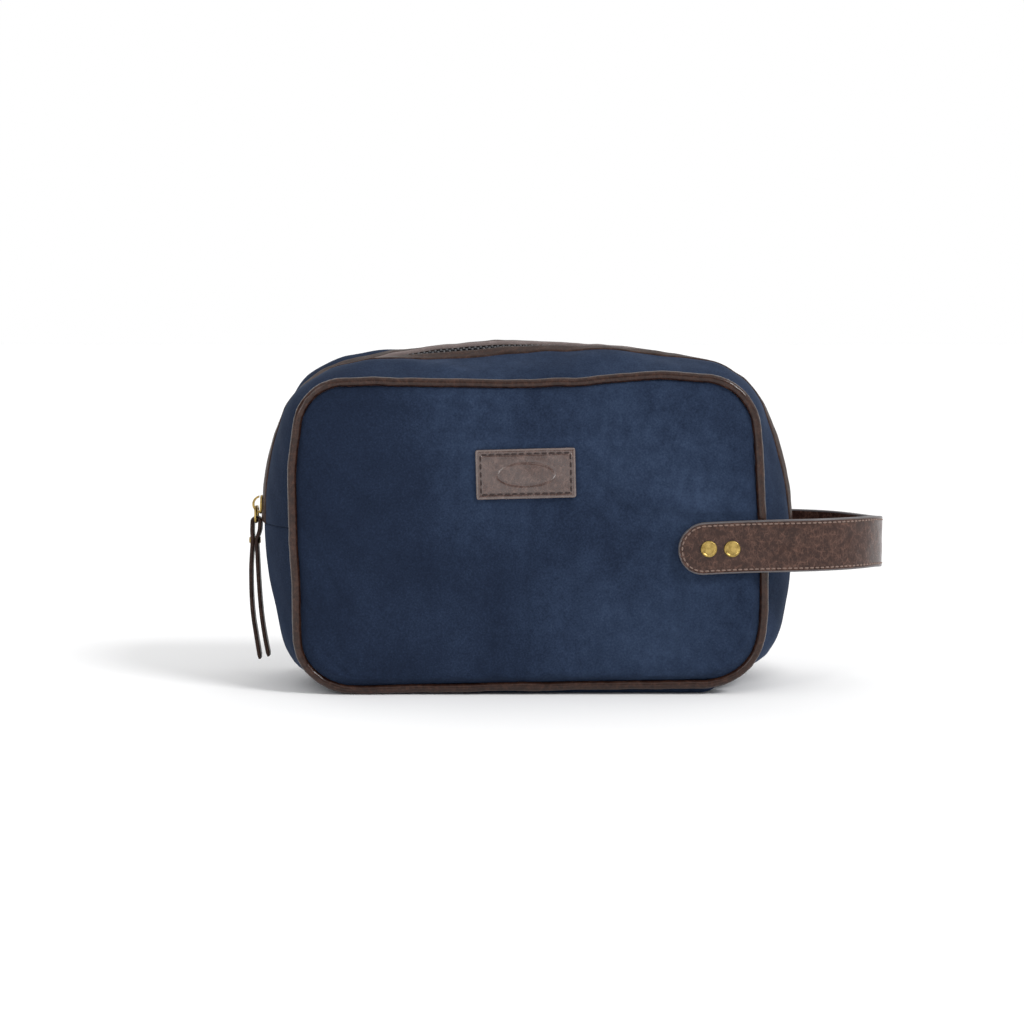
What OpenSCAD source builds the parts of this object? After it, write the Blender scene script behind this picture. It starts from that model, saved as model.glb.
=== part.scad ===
// Zippered wash pouch: two stiffened panels edged with leather piping, joined by an arched
// gusset that carries the zip, with a riveted leather hand strap on the right end.
// X runs to the right, the front faces -Y, +Z is up and z = 0 is the flat base.

/* [Body] */
// Width across the sides where they bulge most
belly_w = 287.8; // [276:0.2:296]
// Height from the base to the zip at the middle of the top
belly_h = 186; // [180:0.5:192]
// Width of the piping loop, between centrelines
panel_w = 248; // [242:0.5:252]
// Height of the upper run of piping, at its centreline
panel_top = 166.4; // [160:0.2:170]
// Distance between the front and back piping loops
body_d = 94; // [88:1:100]
// Height of the seam where the zip gusset meets the lower gusset
seam_z = 88; // [84:0.5:89]

/* [Layers] */
// Diameter of the finished piping
piping_d = 4.7; // [4:0.1:5]
// Thickness of the leather wrapped round the piping cord
piping_skin = 0.8; // [0.6:0.1:1]
// Thickness of the outer fabric on a panel
panel_skin = 1.2; // [0.8:0.1:1.6]
// Thickness of the foam padding behind a panel
padding_t = 3.4; // [2.6:0.1:4]
// Thickness of the gusset's outer fabric with its backing
gusset_t = 1.4; // [1:0.1:1.6]
// Thickness of the lining
lining_t = 0.6; // [0.4:0.1:0.8]
// Thickness of the stiffening board in the base
board_t = 1.6; // [1:0.1:2.4]

/* [Zip] */
// Distance from the centre of the zip to the outer edge of each leather trim
trim_outer = 11; // [9:0.5:13]
// Distance from the centre of the zip to the inner edge of each leather trim
trim_inner = 3.6; // [3.2:0.1:4]
// Distance from the centre of the zip to the outer edge of its tape
tape_outer = 16; // [14:0.5:18]
// Distance from the centre of the zip to the root of the coil
coil_root = 2.6; // [2.4:0.1:3]
// Half of the slot left for the slider's post between the coils
coil_gap = 0.7; // [0.6:0.05:0.8]
// Height of the slider on the left side
slider_z = 97.5; // [97:0.5:110]

/* [Strap] */
// Height of the hand strap's leather
strap_h = 27.6; // [24:0.2:28]
// Height of the strap's centreline above the base
strap_z = 78.3; // [76:0.1:78.4]
// Thickness of the strap's outer leather
strap_outer_t = 1.7; // [1.4:0.1:2]
// Thickness of the strap's inner leather
strap_inner_t = 1.5; // [1.2:0.1:1.8]
// Where the rounded ends of the strap begin
strap_x = 79; // [74:1:84]
// Where the straight runs turn into the round end of the loop
strap_bend_x = 139; // [136:0.5:146]
// Diameter of a rivet's domed cap
rivet_cap_d = 9; // [8:0.5:10]

/* [Opening] */
// Height at which the front folds when the mouth is pulled open
fold_z = 93; // [93:0.5:96]

/* [Hidden] */
$fn = 48;

// Colours
NAVY = [0.145, 0.184, 0.263];
LEATHER = [0.322, 0.255, 0.239];
BRASS = [0.62, 0.50, 0.26];
DARK = [0.09, 0.09, 0.10];
LINING = [0.25, 0.26, 0.29];
FOAM = [0.75, 0.75, 0.72];
CORD = [0.82, 0.80, 0.74];

// Planes from front to back, all on the front half; the back mirrors them
pipe_y = body_d / 2;
pipe_r = piping_d / 2;
face_y = pipe_y + 5;
rim_y = face_y - panel_skin - padding_t - lining_t;
rivet_shank_r = 1.6;

// The two halves of the front keep this much apart, because they move
joint_gap = 0.3;

// An outline is [half width, side radius, top height, top corner radius, rise of the
// top edge, bottom height, bottom corner radius]. Its sides, corners and top are
// tangent arcs, and its widest point is at the height of the seam.
BELLY = [belly_w / 2, 172, belly_h, 44, 7.3, 0, 14];
PIPE = [panel_w / 2, 650, panel_top, 24, 1.5, 3.7, 32];
RIM = inset(PIPE, pipe_r + 0.15);

SIDE_STEPS = 6;
LOW_SIDE_STEPS = 4;
CORNER_STEPS = 5;
CROWN_STEPS = 3;

function inset(o, d) =
    [o[0] - d, o[1] - d, o[2] - d, o[3] - d, o[4], o[5] + d, o[6] - d];
function side_centre(o) = [o[0] - o[1], seam_z];
function side_angle(o, z) = asin((z - seam_z) / o[1]);
function top_angle(o) = asin((o[2] - o[4] - o[3] - seam_z) / (o[1] - o[3]));
function bottom_angle(o) = -asin((seam_z - o[5] - o[6]) / (o[1] - o[6]));
function on_circle(c, r, a) = [c[0] + r * cos(a), c[1] + r * sin(a)];
function top_centre(o) = on_circle(side_centre(o), o[1] - o[3], top_angle(o));
function bottom_centre(o) = on_circle(side_centre(o), o[1] - o[6], bottom_angle(o));
function crown_drop(o) =
    let (c = top_centre(o)) (c[0] * c[0] - o[4] * o[4]) / (2 * o[4]);
function crown_angle(o) = atan2(crown_drop(o), top_centre(o)[0]);

function arc(c, r, a0, a1, n, first = 0) =
    [for (i = [first:n]) on_circle(c, r, a0 + (a1 - a0) * i / n)];

// Right half of the outline from height z up to the middle of the top
function upper_half(o, z) =
    let (c = top_centre(o), drop = crown_drop(o))
    concat(
        arc(side_centre(o), o[1], side_angle(o, z), top_angle(o), SIDE_STEPS),
        arc(c, o[3], top_angle(o), crown_angle(o), CORNER_STEPS, 1),
        arc([0, c[1] - drop], o[2] - c[1] + drop, crown_angle(o), 90, CROWN_STEPS, 1)
    );
// Right half of the outline from the flat bottom up to height z
function lower_half(o, z) =
    concat(
        arc(bottom_centre(o), o[6], -90, bottom_angle(o), CORNER_STEPS),
        arc(side_centre(o), o[1], bottom_angle(o), side_angle(o, z), LOW_SIDE_STEPS, 1)
    );
function mirrored(pts) = [for (i = [len(pts) - 1:-1:0]) [-pts[i][0], pts[i][1]]];
function without_first(pts) = [for (i = [1:len(pts) - 1]) pts[i]];
function reversed(pts) = [for (i = [len(pts) - 1:-1:0]) pts[i]];
function upper_path(o, z) = concat(upper_half(o, z), without_first(mirrored(upper_half(o, z))));
function lower_path(o, z) = concat(mirrored(lower_half(o, z)), lower_half(o, z));
function whole_path(o) =
    let (half = concat([[joint_gap / 3, o[5]]], lower_half(o, seam_z),
                       without_first(upper_half(o, seam_z))))
    concat(half, without_first(mirrored(half)));

// How far the gusset has arched out from the rim to the belly at depth y. A short neck
// runs straight back past the piping; the base is flat almost from neck to neck.
neck_y = pipe_y - pipe_r;
base_flat_y = neck_y - 3.6;
function side_arch(y) = abs(y) >= neck_y ? 0 : 1 - pow(y / neck_y, 2);
function base_arch(y) =
    abs(y) >= neck_y ? 0
    : abs(y) <= base_flat_y ? 1
    : 1 - pow((abs(y) - base_flat_y) / (neck_y - base_flat_y), 2);
function gusset_point(rim, belly, y) =
    let (kx = side_arch(y), kz = rim[1] < seam_z ? base_arch(y) : kx)
    [rim[0] + (belly[0] - rim[0]) * kx, y, rim[1] + (belly[1] - rim[1]) * kz];

// A strip swept along stations: outer[i][j] and inner[i][j] are its two surfaces
module strip(outer, inner) {
    stations = len(outer);
    across = len(outer[0]);
    ring = 2 * across;
    points = [for (i = [0:stations - 1]) each concat(outer[i], reversed(inner[i]))];
    // Both surfaces split their cells along the same diagonal, so that two layers fit
    sides = [
        for (i = [0:stations - 2], j = [0:ring - 1])
            let (a = i * ring + j, b = i * ring + (j + 1) % ring)
            each j < across
                ? [[a, b, b + ring], [a, b + ring, a + ring]]
                : [[a, b, a + ring], [b, b + ring, a + ring]]
    ];
    last = (stations - 1) * ring;
    ends = [
        for (j = [0:across - 2])
            let (p = j, q = j + 1, r = ring - 2 - j, s = ring - 1 - j)
            each [[p, s, r], [p, r, q], [last + p, last + q, last + r], [last + p, last + r, last + s]]
    ];
    polyhedron(points, concat(sides, ends));
}

// A solid cord swept along a path in the X-Z plane
module cord(path, y, r, sides) {
    rings = [for (i = [0:len(path) - 1]) section(path, i, y, r, 0, 360 - 360 / sides, sides)];
    points = [for (ring = rings) each ring];
    last = (len(path) - 1) * sides;
    walls = [
        for (i = [0:len(path) - 2], j = [0:sides - 1])
            let (a = i * sides + j, b = i * sides + (j + 1) % sides)
            each [[a, b, b + sides], [a, b + sides, a + sides]]
    ];
    ends = [
        for (j = [1:sides - 2])
            each [[0, j + 1, j], [last, last + j, last + j + 1]]
    ];
    polyhedron(points, concat(walls, ends));
}

// Points round a path's centreline at station i, between two angles; 0 points outwards
function section(path, i, y, r, a0, a1, n) =
    let (
        before = path[max(i - 1, 0)],
        after = path[min(i + 1, len(path) - 1)],
        t = (after - before) / norm(after - before)
    )
    [
        for (j = [0:n - 1])
            let (a = a0 + (a1 - a0) * j / (n - 1))
            [path[i][0] + r * cos(a) * t[1], y - r * sin(a), path[i][1] - r * cos(a) * t[0]]
    ];

// Part of the gusset between two depths below its surface, over a list of y values
module gusset(rim_path, belly_path, rim_inner, belly_inner, y_list) {
    strip(
        [for (i = [0:len(rim_path) - 1])
            [for (y = y_list) gusset_point(rim_path[i], belly_path[i], y)]],
        [for (i = [0:len(rim_path) - 1])
            [for (y = y_list) gusset_point(rim_inner[i], belly_inner[i], y)]]
    );
}
module upper_gusset(z, d0, d1, y_list) {
    gusset(upper_path(inset(RIM, d0), z), upper_path(inset(BELLY, d0), z),
           upper_path(inset(RIM, d1), z), upper_path(inset(BELLY, d1), z), y_list);
}
module low_gusset(z, d0, d1, y_list) {
    gusset(lower_path(inset(RIM, d0), z), lower_path(inset(BELLY, d0), z),
           lower_path(inset(RIM, d1), z), lower_path(inset(BELLY, d1), z), y_list);
}

SKIN_Y = [-rim_y, -neck_y, -base_flat_y, -34, -24, -tape_outer, -trim_outer];
LINING_Y = [-rim_y, -neck_y, -base_flat_y, -34, -24, -tape_outer];
LOW_Y = [-rim_y, -neck_y, -base_flat_y, -30, -14, 12, 30, base_flat_y, neck_y, rim_y];
front_seam_z = seam_z + joint_gap / 2;
back_seam_z = seam_z - joint_gap / 2;

// A flat layer of a panel: y0 is its outer face
module plate(path, y0, t) {
    translate([0, t - y0, 0])
        rotate([90, 0, 0])
        linear_extrude(t)
        polygon(path);
}
module back_side() {
    mirror([0, 1, 0])
        children();
}

skin_y = face_y;
padding_y = face_y - panel_skin;
panel_lining_y = padding_y - padding_t;
front_fold_up = fold_z + joint_gap / 2;
front_fold_down = fold_z - joint_gap / 2;

// Shanks of the strap's rivets
rivet_xs = [94.9, 107.1];
module rivet_holes() {
    for (x = rivet_xs)
        translate([x, 0, strap_z])
            rotate([90, 0, 0])
            cylinder(h = 3 * body_d, r = rivet_shank_r, center = true);
}

module full_plate(y0, t) {
    difference() {
        plate(concat(lower_half(RIM, seam_z), without_first(upper_half(RIM, seam_z)),
                     without_first(mirrored(concat(lower_half(RIM, seam_z),
                                                   without_first(upper_half(RIM, seam_z)))))),
              y0, t);
        rivet_holes();
    }
}
module lower_plate(y0, t) {
    difference() {
        plate(lower_path(RIM, front_fold_down), y0, t);
        rivet_holes();
    }
}
module upper_plate(y0, t) {
    plate(upper_path(RIM, front_fold_up), y0, t);
}

// Back half
module back_panel() { color(NAVY) back_side() full_plate(skin_y, panel_skin); }
module back_padding() { color(FOAM) back_side() full_plate(padding_y, padding_t); }
module back_lining() { color(LINING) back_side() full_plate(panel_lining_y, lining_t); }

// Piping: leather wrapped round a cord, with its slit turned towards the seam
PIPE_SECTION = 8;
module piping(path) {
    strip(
        [for (i = [0:len(path) - 1]) section(path, i, -pipe_y, pipe_r, -150, 150, PIPE_SECTION)],
        [for (i = [0:len(path) - 1])
            section(path, i, -pipe_y, pipe_r - piping_skin, -150, 150, PIPE_SECTION)]
    );
}
module piping_cord(path) { cord(path, -pipe_y, (pipe_r - piping_skin) * 0.9, 6); }
module back_piping() { color(LEATHER) back_side() piping(whole_path(PIPE)); }
module back_piping_cord() { color(CORD) back_side() piping_cord(whole_path(PIPE)); }

module gusset_upper_back() {
    color(NAVY) back_side() upper_gusset(back_seam_z, 0, gusset_t, SKIN_Y);
}
module gusset_lining_back() {
    color(LINING) back_side() upper_gusset(back_seam_z, gusset_t, gusset_t + lining_t, LINING_Y);
}

// Lower gusset: one strip down both sides and under the base
module lower_gusset() {
    color(NAVY) low_gusset(back_seam_z, 0, gusset_t, LOW_Y);
}
module lower_gusset_lining() {
    color(LINING) low_gusset(back_seam_z, gusset_t, gusset_t + lining_t, LOW_Y);
}
module base_board() {
    board_x = 92;
    board_y = 38;
    corner = 6;
    color(DARK)
        translate([0, 0, gusset_t + lining_t])
        linear_extrude(board_t)
        union() {
            square([2 * board_x, 2 * (board_y - corner)], center = true);
            square([2 * (board_x - corner), 2 * board_y], center = true);
            for (sx = [-1, 1], sy = [-1, 1])
                translate([sx * (board_x - corner), sy * (board_y - corner)])
                    circle(corner);
        }
}

// Front half below the fold
module front_panel_lower() { color(NAVY) lower_plate(skin_y, panel_skin); }
module front_padding_lower() { color(FOAM) lower_plate(padding_y, padding_t); }
module front_lining_lower() { color(LINING) lower_plate(panel_lining_y, lining_t); }
module front_piping_lower() { color(LEATHER) piping(lower_path(PIPE, front_fold_down)); }
module front_cord_lower() { color(CORD) piping_cord(lower_path(PIPE, front_fold_down)); }

// Front half above the fold
module front_panel_upper() { color(NAVY) upper_plate(skin_y, panel_skin); }
module front_padding_upper() { color(FOAM) upper_plate(padding_y, padding_t); }
module front_lining_upper() { color(LINING) upper_plate(panel_lining_y, lining_t); }
module front_piping_upper() { color(LEATHER) piping(upper_path(PIPE, front_fold_up)); }
module front_cord_upper() { color(CORD) piping_cord(upper_path(PIPE, front_fold_up)); }
module gusset_upper_front() {
    color(NAVY) upper_gusset(front_seam_z, 0, gusset_t, SKIN_Y);
}
module gusset_lining_front() {
    color(LINING) upper_gusset(front_seam_z, gusset_t, gusset_t + lining_t, LINING_Y);
}

// Leather label on the front, blank
module label() {
    label_w = 52.4;
    label_h = 27.2;
    label_t = 1.6;
    corner = 1.5;
    color(LEATHER)
        translate([-1, -face_y, 117.6])
        rotate([0, -1.5, 0])
        rotate([90, 0, 0])
        linear_extrude(label_t)
        union() {
            square([label_w, label_h - 2 * corner], center = true);
            square([label_w - 2 * corner, label_h], center = true);
            for (sx = [-1, 1], sy = [-1, 1])
                translate([sx * (label_w / 2 - corner), sy * (label_h / 2 - corner)])
                    circle(corner);
        }
}

// Hand strap: a U of two leathers in plan, its ends rounded and riveted to both panels
module strap_layer(r_in, r_out) {
    end_r = strap_h / 2;
    intersection() {
        translate([0, 0, strap_z - strap_h / 2])
            linear_extrude(strap_h)
            difference() {
                union() {
                    translate([strap_bend_x, 0])
                        circle(r_out);
                    translate([strap_x, -r_out])
                        square([strap_bend_x - strap_x, 2 * r_out]);
                }
                translate([strap_bend_x, 0])
                    circle(r_in);
                translate([strap_x - 1, -r_in])
                    square([strap_bend_x - strap_x + 1, 2 * r_in]);
            }
        union() {
            translate([strap_x + end_r, 0, strap_z])
                rotate([90, 0, 0])
                cylinder(h = 3 * body_d, r = end_r, center = true);
            translate([strap_x + end_r, -1.5 * body_d, strap_z - end_r])
                cube([2 * body_d, 3 * body_d, strap_h]);
        }
    }
}
module hand_strap() {
    color(LEATHER)
        difference() {
            strap_layer(face_y + strap_inner_t, face_y + strap_inner_t + strap_outer_t);
            rivet_holes();
        }
}
module hand_strap_lining() {
    color(LEATHER)
        difference() {
            strap_layer(face_y, face_y + strap_inner_t);
            rivet_holes();
        }
}

// A rivet: domed cap outside, shank through every layer, washer on the lining
module strap_rivets() {
    cap_t = 1.3;
    dome_r = 9;
    washer_t = 0.8;
    strap_face = face_y + strap_inner_t + strap_outer_t;
    washer_face = panel_lining_y - lining_t;
    for (x = rivet_xs)
        translate([x, 0, strap_z])
            rotate([90, 0, 0]) {
                intersection() {
                    translate([0, 0, strap_face])
                        cylinder(h = cap_t, d = rivet_cap_d);
                    translate([0, 0, strap_face + cap_t - dome_r])
                        sphere(dome_r);
                }
                translate([0, 0, washer_face])
                    cylinder(h = strap_face - washer_face, r = rivet_shank_r);
                translate([0, 0, washer_face - washer_t])
                    cylinder(h = washer_t, r = rivet_cap_d / 2 - 0.5);
            }
}
module strap_rivets_front() { color(BRASS) strap_rivets(); }
module strap_rivets_back() { color(BRASS) back_side() strap_rivets(); }

// Zip: each half is a tape, a coil and a leather trim that hides the tape
tape_t = 0.6;
module zip_tape(z) { upper_gusset(z, gusset_t, gusset_t + tape_t, [-tape_outer, -coil_root]); }
module zip_coil(z) { upper_gusset(z, 0.2, gusset_t + 0.8, [-coil_root, -coil_gap]); }
module zip_trim(z) { upper_gusset(z, -0.6, gusset_t, [-trim_outer, -trim_inner]); }
module zip_tape_back() { color(DARK) back_side() zip_tape(back_seam_z); }
module zip_coil_back() { color(DARK) back_side() zip_coil(back_seam_z); }
module zip_trim_back() { color(LEATHER) back_side() zip_trim(back_seam_z); }
module zip_tape_front() { color(DARK) zip_tape(front_seam_z); }
module zip_coil_front() { color(DARK) zip_coil(front_seam_z); }
module zip_trim_front() { color(LEATHER) zip_trim(front_seam_z); }

// A frame on the zip's left side at height z: +Z along the zip, -X outwards
module on_zip(z) {
    zip_r = BELLY[1];
    translate([-side_centre(BELLY)[0], 0, seam_z])
        rotate([0, side_angle(BELLY, z), 0])
        translate([-zip_r, 0, 0])
        children();
}
stop_z = 90;
stop_h = 1.6;
module zip_stop() {
    on_zip(stop_z)
        translate([-0.6, -coil_root, -stop_h / 2])
        cube([0.8, coil_root - coil_gap, stop_h]);
}
module zip_stop_front() { color(BRASS) zip_stop(); }
module zip_stop_back() { color(BRASS) back_side() zip_stop(); }
// The end stop joins both tapes on the right; only its foot touches the back coil
module zip_end_stop() {
    color(BRASS)
        mirror([1, 0, 0])
        on_zip(stop_z) {
            translate([-1, -coil_root, -stop_h])
                cube([0.8, 2 * coil_root, 2 * stop_h]);
            translate([-0.2, coil_gap, -stop_h])
                cube([0.4, coil_root - coil_gap, 2 * stop_h]);
        }
}

// Slider: two plates joined by a post between the coils, and an open hook for the ring
plate_l = 10;
plate_w = 8.4;
plate_out = 1.4;
plate_t = 0.9;
hook_r = 4.9;
hook_wire = 1.1;
hook_w = 2.6;
hook_o = 1.9;
module slider_plate(o) {
    translate([-o, 0, 0])
        rotate([0, -90, 0])
        linear_extrude(plate_t)
        intersection() {
            square([plate_l, plate_w], center = true);
            circle(plate_l * 0.56);
        }
}
module zip_slider() {
    post_l = 2.5;
    under = 3.2;
    color(BRASS)
        on_zip(slider_z) {
            slider_plate(plate_out);
            slider_plate(-under - plate_t);
            translate([-plate_out, -0.35, 1 - plate_l / 2])
                cube([plate_out + under, 0.7, post_l]);
            rotate([90, 0, 0])
                linear_extrude(hook_w, center = true)
                difference() {
                    translate([-hook_o, 0])
                        circle(hook_r);
                    translate([-hook_o, 0])
                        circle(hook_r - hook_wire);
                    translate([-plate_out - plate_t / 2, -plate_l])
                        square([plate_l, 2 * plate_l]);
                    translate([-plate_out - plate_t - 1, 0])
                        square([plate_l, plate_l]);
                }
        }
}

// Pull ring: an oblong wire ring that hangs in the slider's hook
ring_x = -148.2;
ring_z = 96.2;
ring_drop = 8.1;
ring_half_w = 5;
ring_wire_r = 0.75;
module pull_ring() {
    bend = 2;
    color(BRASS)
        translate([ring_x, 0, ring_z - ring_drop / 2])
        for (turn = [0, 180])
            rotate([turn, 0, 0]) {
                translate([0, 0, ring_drop / 2])
                    rotate([90, 0, 0])
                    cylinder(h = 2 * (ring_half_w - bend), r = ring_wire_r, center = true);
                translate([0, ring_half_w, 0])
                    cylinder(h = ring_drop - 2 * bend, r = ring_wire_r, center = true);
                for (side = [0, 1])
                    mirror([0, side, 0])
                        translate([0, ring_half_w - bend, ring_drop / 2 - bend])
                        rotate([90, 0, 90])
                        rotate_extrude(angle = 90)
                        translate([bend, 0])
                        circle(ring_wire_r);
            }
}

// Pull: a leather thong doubled over the ring, riveted together, its two tails hanging
ribbon_w = 7.4;
ribbon_t = 2.1;
loop_r = 2.1;
ribbon_z = ring_z - ring_drop;
TAIL_OUT = [[1.1, -74], [-0.6, -63], [-2.2, -52], [-3, -40], [-3.1, -26], [-2.5, -16], [-2.1, -10.2], [-2.3, -5]];
TAIL_IN = [[1.7, -5], [0.15, -10.2], [0.4, -18], [0.9, -30], [1.6, -42], [2.6, -53], [4.2, -64], [5.9, -72.5]];
module pull_ribbon() {
    path = concat(TAIL_OUT, arc([0, 0], loop_r, 180, 0, 8), TAIL_IN);
    color(LEATHER)
        difference() {
            translate([ring_x, 0, ribbon_z])
                rotate([90, 0, 0])
                linear_extrude(ribbon_w, center = true)
                polygon(concat(offset_line(path, ribbon_t / 2), reversed(offset_line(path, -ribbon_t / 2))));
            pull_rivet_shank();
        }
}
function offset_line(path, d) =
    [
        for (i = [0:len(path) - 1])
            let (
                step = path[min(i + 1, len(path) - 1)] - path[max(i - 1, 0)],
                t = step / norm(step)
            )
            path[i] + d * [-t[1], t[0]]
    ];
rivet_drop = 10.2;
module pull_rivet_shank() {
    translate([ring_x - 1, 0, ribbon_z - rivet_drop])
        rotate([0, 90, 0])
        cylinder(h = 2 * ribbon_t + 0.2, r = 1, center = true);
}
module pull_rivet() {
    cap_t = 0.9;
    cap_r = 2.4;
    color(BRASS) {
        pull_rivet_shank();
        for (side = [0, 1])
            translate([ring_x - 1, 0, ribbon_z - rivet_drop])
                mirror([side, 0, 0])
                rotate([0, 90, 0])
                translate([0, 0, ribbon_t + 0.08])
                cylinder(h = cap_t, r1 = cap_r, r2 = cap_r * 0.6);
    }
}

back_panel();
back_padding();
back_lining();
back_piping();
back_piping_cord();
gusset_upper_back();
gusset_lining_back();
lower_gusset();
lower_gusset_lining();
base_board();
front_panel_lower();
front_padding_lower();
front_lining_lower();
front_piping_lower();
front_cord_lower();
hand_strap();
hand_strap_lining();
strap_rivets_front();
strap_rivets_back();
zip_tape_back();
zip_coil_back();
zip_trim_back();
zip_stop_back();
zip_end_stop();
front_panel_upper();
front_padding_upper();
front_lining_upper();
front_piping_upper();
front_cord_upper();
gusset_upper_front();
gusset_lining_front();
label();
zip_tape_front();
zip_coil_front();
zip_trim_front();
zip_stop_front();
zip_slider();
pull_ring();
pull_ribbon();
pull_rivet();
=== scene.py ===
"""Looks of the zippered wash pouch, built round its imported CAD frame.

Lengths inside this script are millimetres, in the frame's axes: X right, Y back, Z up.
Meshes are scaled to metres when they are made. The front of the pouch faces -Y.
"""

import math

import bmesh
import bpy
import numpy as np
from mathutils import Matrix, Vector


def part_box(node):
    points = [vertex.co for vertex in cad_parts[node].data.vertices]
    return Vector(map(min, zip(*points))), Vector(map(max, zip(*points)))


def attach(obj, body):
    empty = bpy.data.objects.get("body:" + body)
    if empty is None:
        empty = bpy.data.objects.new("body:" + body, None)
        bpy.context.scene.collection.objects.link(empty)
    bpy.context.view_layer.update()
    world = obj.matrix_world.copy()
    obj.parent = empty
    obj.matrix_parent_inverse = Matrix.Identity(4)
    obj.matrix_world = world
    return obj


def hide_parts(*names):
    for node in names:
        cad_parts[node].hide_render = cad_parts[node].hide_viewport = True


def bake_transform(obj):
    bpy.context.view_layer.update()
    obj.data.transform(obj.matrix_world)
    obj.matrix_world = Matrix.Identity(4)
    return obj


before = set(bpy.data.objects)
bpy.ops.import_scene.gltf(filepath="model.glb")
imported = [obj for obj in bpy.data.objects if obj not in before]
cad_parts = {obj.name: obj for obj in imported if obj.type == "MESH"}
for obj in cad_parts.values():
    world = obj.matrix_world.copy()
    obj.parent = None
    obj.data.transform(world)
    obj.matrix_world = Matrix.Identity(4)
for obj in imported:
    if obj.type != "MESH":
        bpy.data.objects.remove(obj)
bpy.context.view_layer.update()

MM = 0.001


def cad_box(node):
    """Lowest and highest corner of a CAD node, in millimetres."""
    low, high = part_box(node)
    return np.array(low) / MM, np.array(high) / MM


# ---------------------------------------------------------------- driving dimensions

COIL_BOX = cad_box("zip_coil_back")
PIPING_BOX = cad_box("back_piping")
LABEL_BOX = cad_box("label")
STRAP_BOX = cad_box("hand_strap")
STRAP_LINING_BOX = cad_box("hand_strap_lining")
PANEL_BOX = cad_box("front_panel_lower")
FLAP_BOX = cad_box("front_panel_upper")
UPPER_GUSSET_BOX = cad_box("gusset_upper_back")

PIPE_R = 2.35
COIL_DEPTH = 0.2
BELLY_HALF_W = COIL_BOX[1][0] + COIL_DEPTH
BELLY_TOP = COIL_BOX[1][2] + COIL_DEPTH
PIPE_Y = (PIPING_BOX[0][1] + PIPING_BOX[1][1]) / 2
SEAM_Z = UPPER_GUSSET_BOX[0][2]
FOLD_Z = (PANEL_BOX[1][2] + FLAP_BOX[0][2]) / 2
FACE_Y = -PANEL_BOX[0][1]
NECK_Y = PIPE_Y - PIPE_R
BASE_FLAT_Y = NECK_Y - 3.6
RIM_Y = NECK_Y + 2.15
TRIM_OUTER = 11.0
TRIM_INNER = 3.6
SKIN_T = 1.4
LINING_T = 0.6

STRAP_R = (STRAP_BOX[1][2] - STRAP_BOX[0][2]) / 2
STRAP_Z = (STRAP_BOX[1][2] + STRAP_BOX[0][2]) / 2
STRAP_X0 = STRAP_BOX[0][0]
STRAP_OUT = -STRAP_BOX[0][1]
STRAP_MID = -STRAP_LINING_BOX[0][1]
STRAP_BEND_X = STRAP_BOX[1][0] - STRAP_OUT

HINGE_START = (0, (PANEL_BOX[0][1]) * MM, (FOLD_Z - 11) * MM)
HINGE_END = (0, (PANEL_BOX[0][1]) * MM, (FOLD_Z + 11) * MM)
GUSSET_TILT = math.radians(30)
GUSSET_BLEND_MM = 56.0
GUSSET_START = (0, 0, SEAM_Z * MM)
GUSSET_END = (
    0,
    -math.sin(GUSSET_TILT) * GUSSET_BLEND_MM * MM,
    (SEAM_Z + math.cos(GUSSET_TILT) * GUSSET_BLEND_MM) * MM,
)


# ---------------------------------------------------------------- outlines


def arc(centre, radius, a0, a1, count, skip_first=True):
    """Points on a circle between two angles in degrees."""
    a = np.radians(np.linspace(a0, a1, count + 1))
    points = np.stack([centre[0] + radius * np.cos(a), centre[1] + radius * np.sin(a)], -1)
    return points[1:] if skip_first else points


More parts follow.
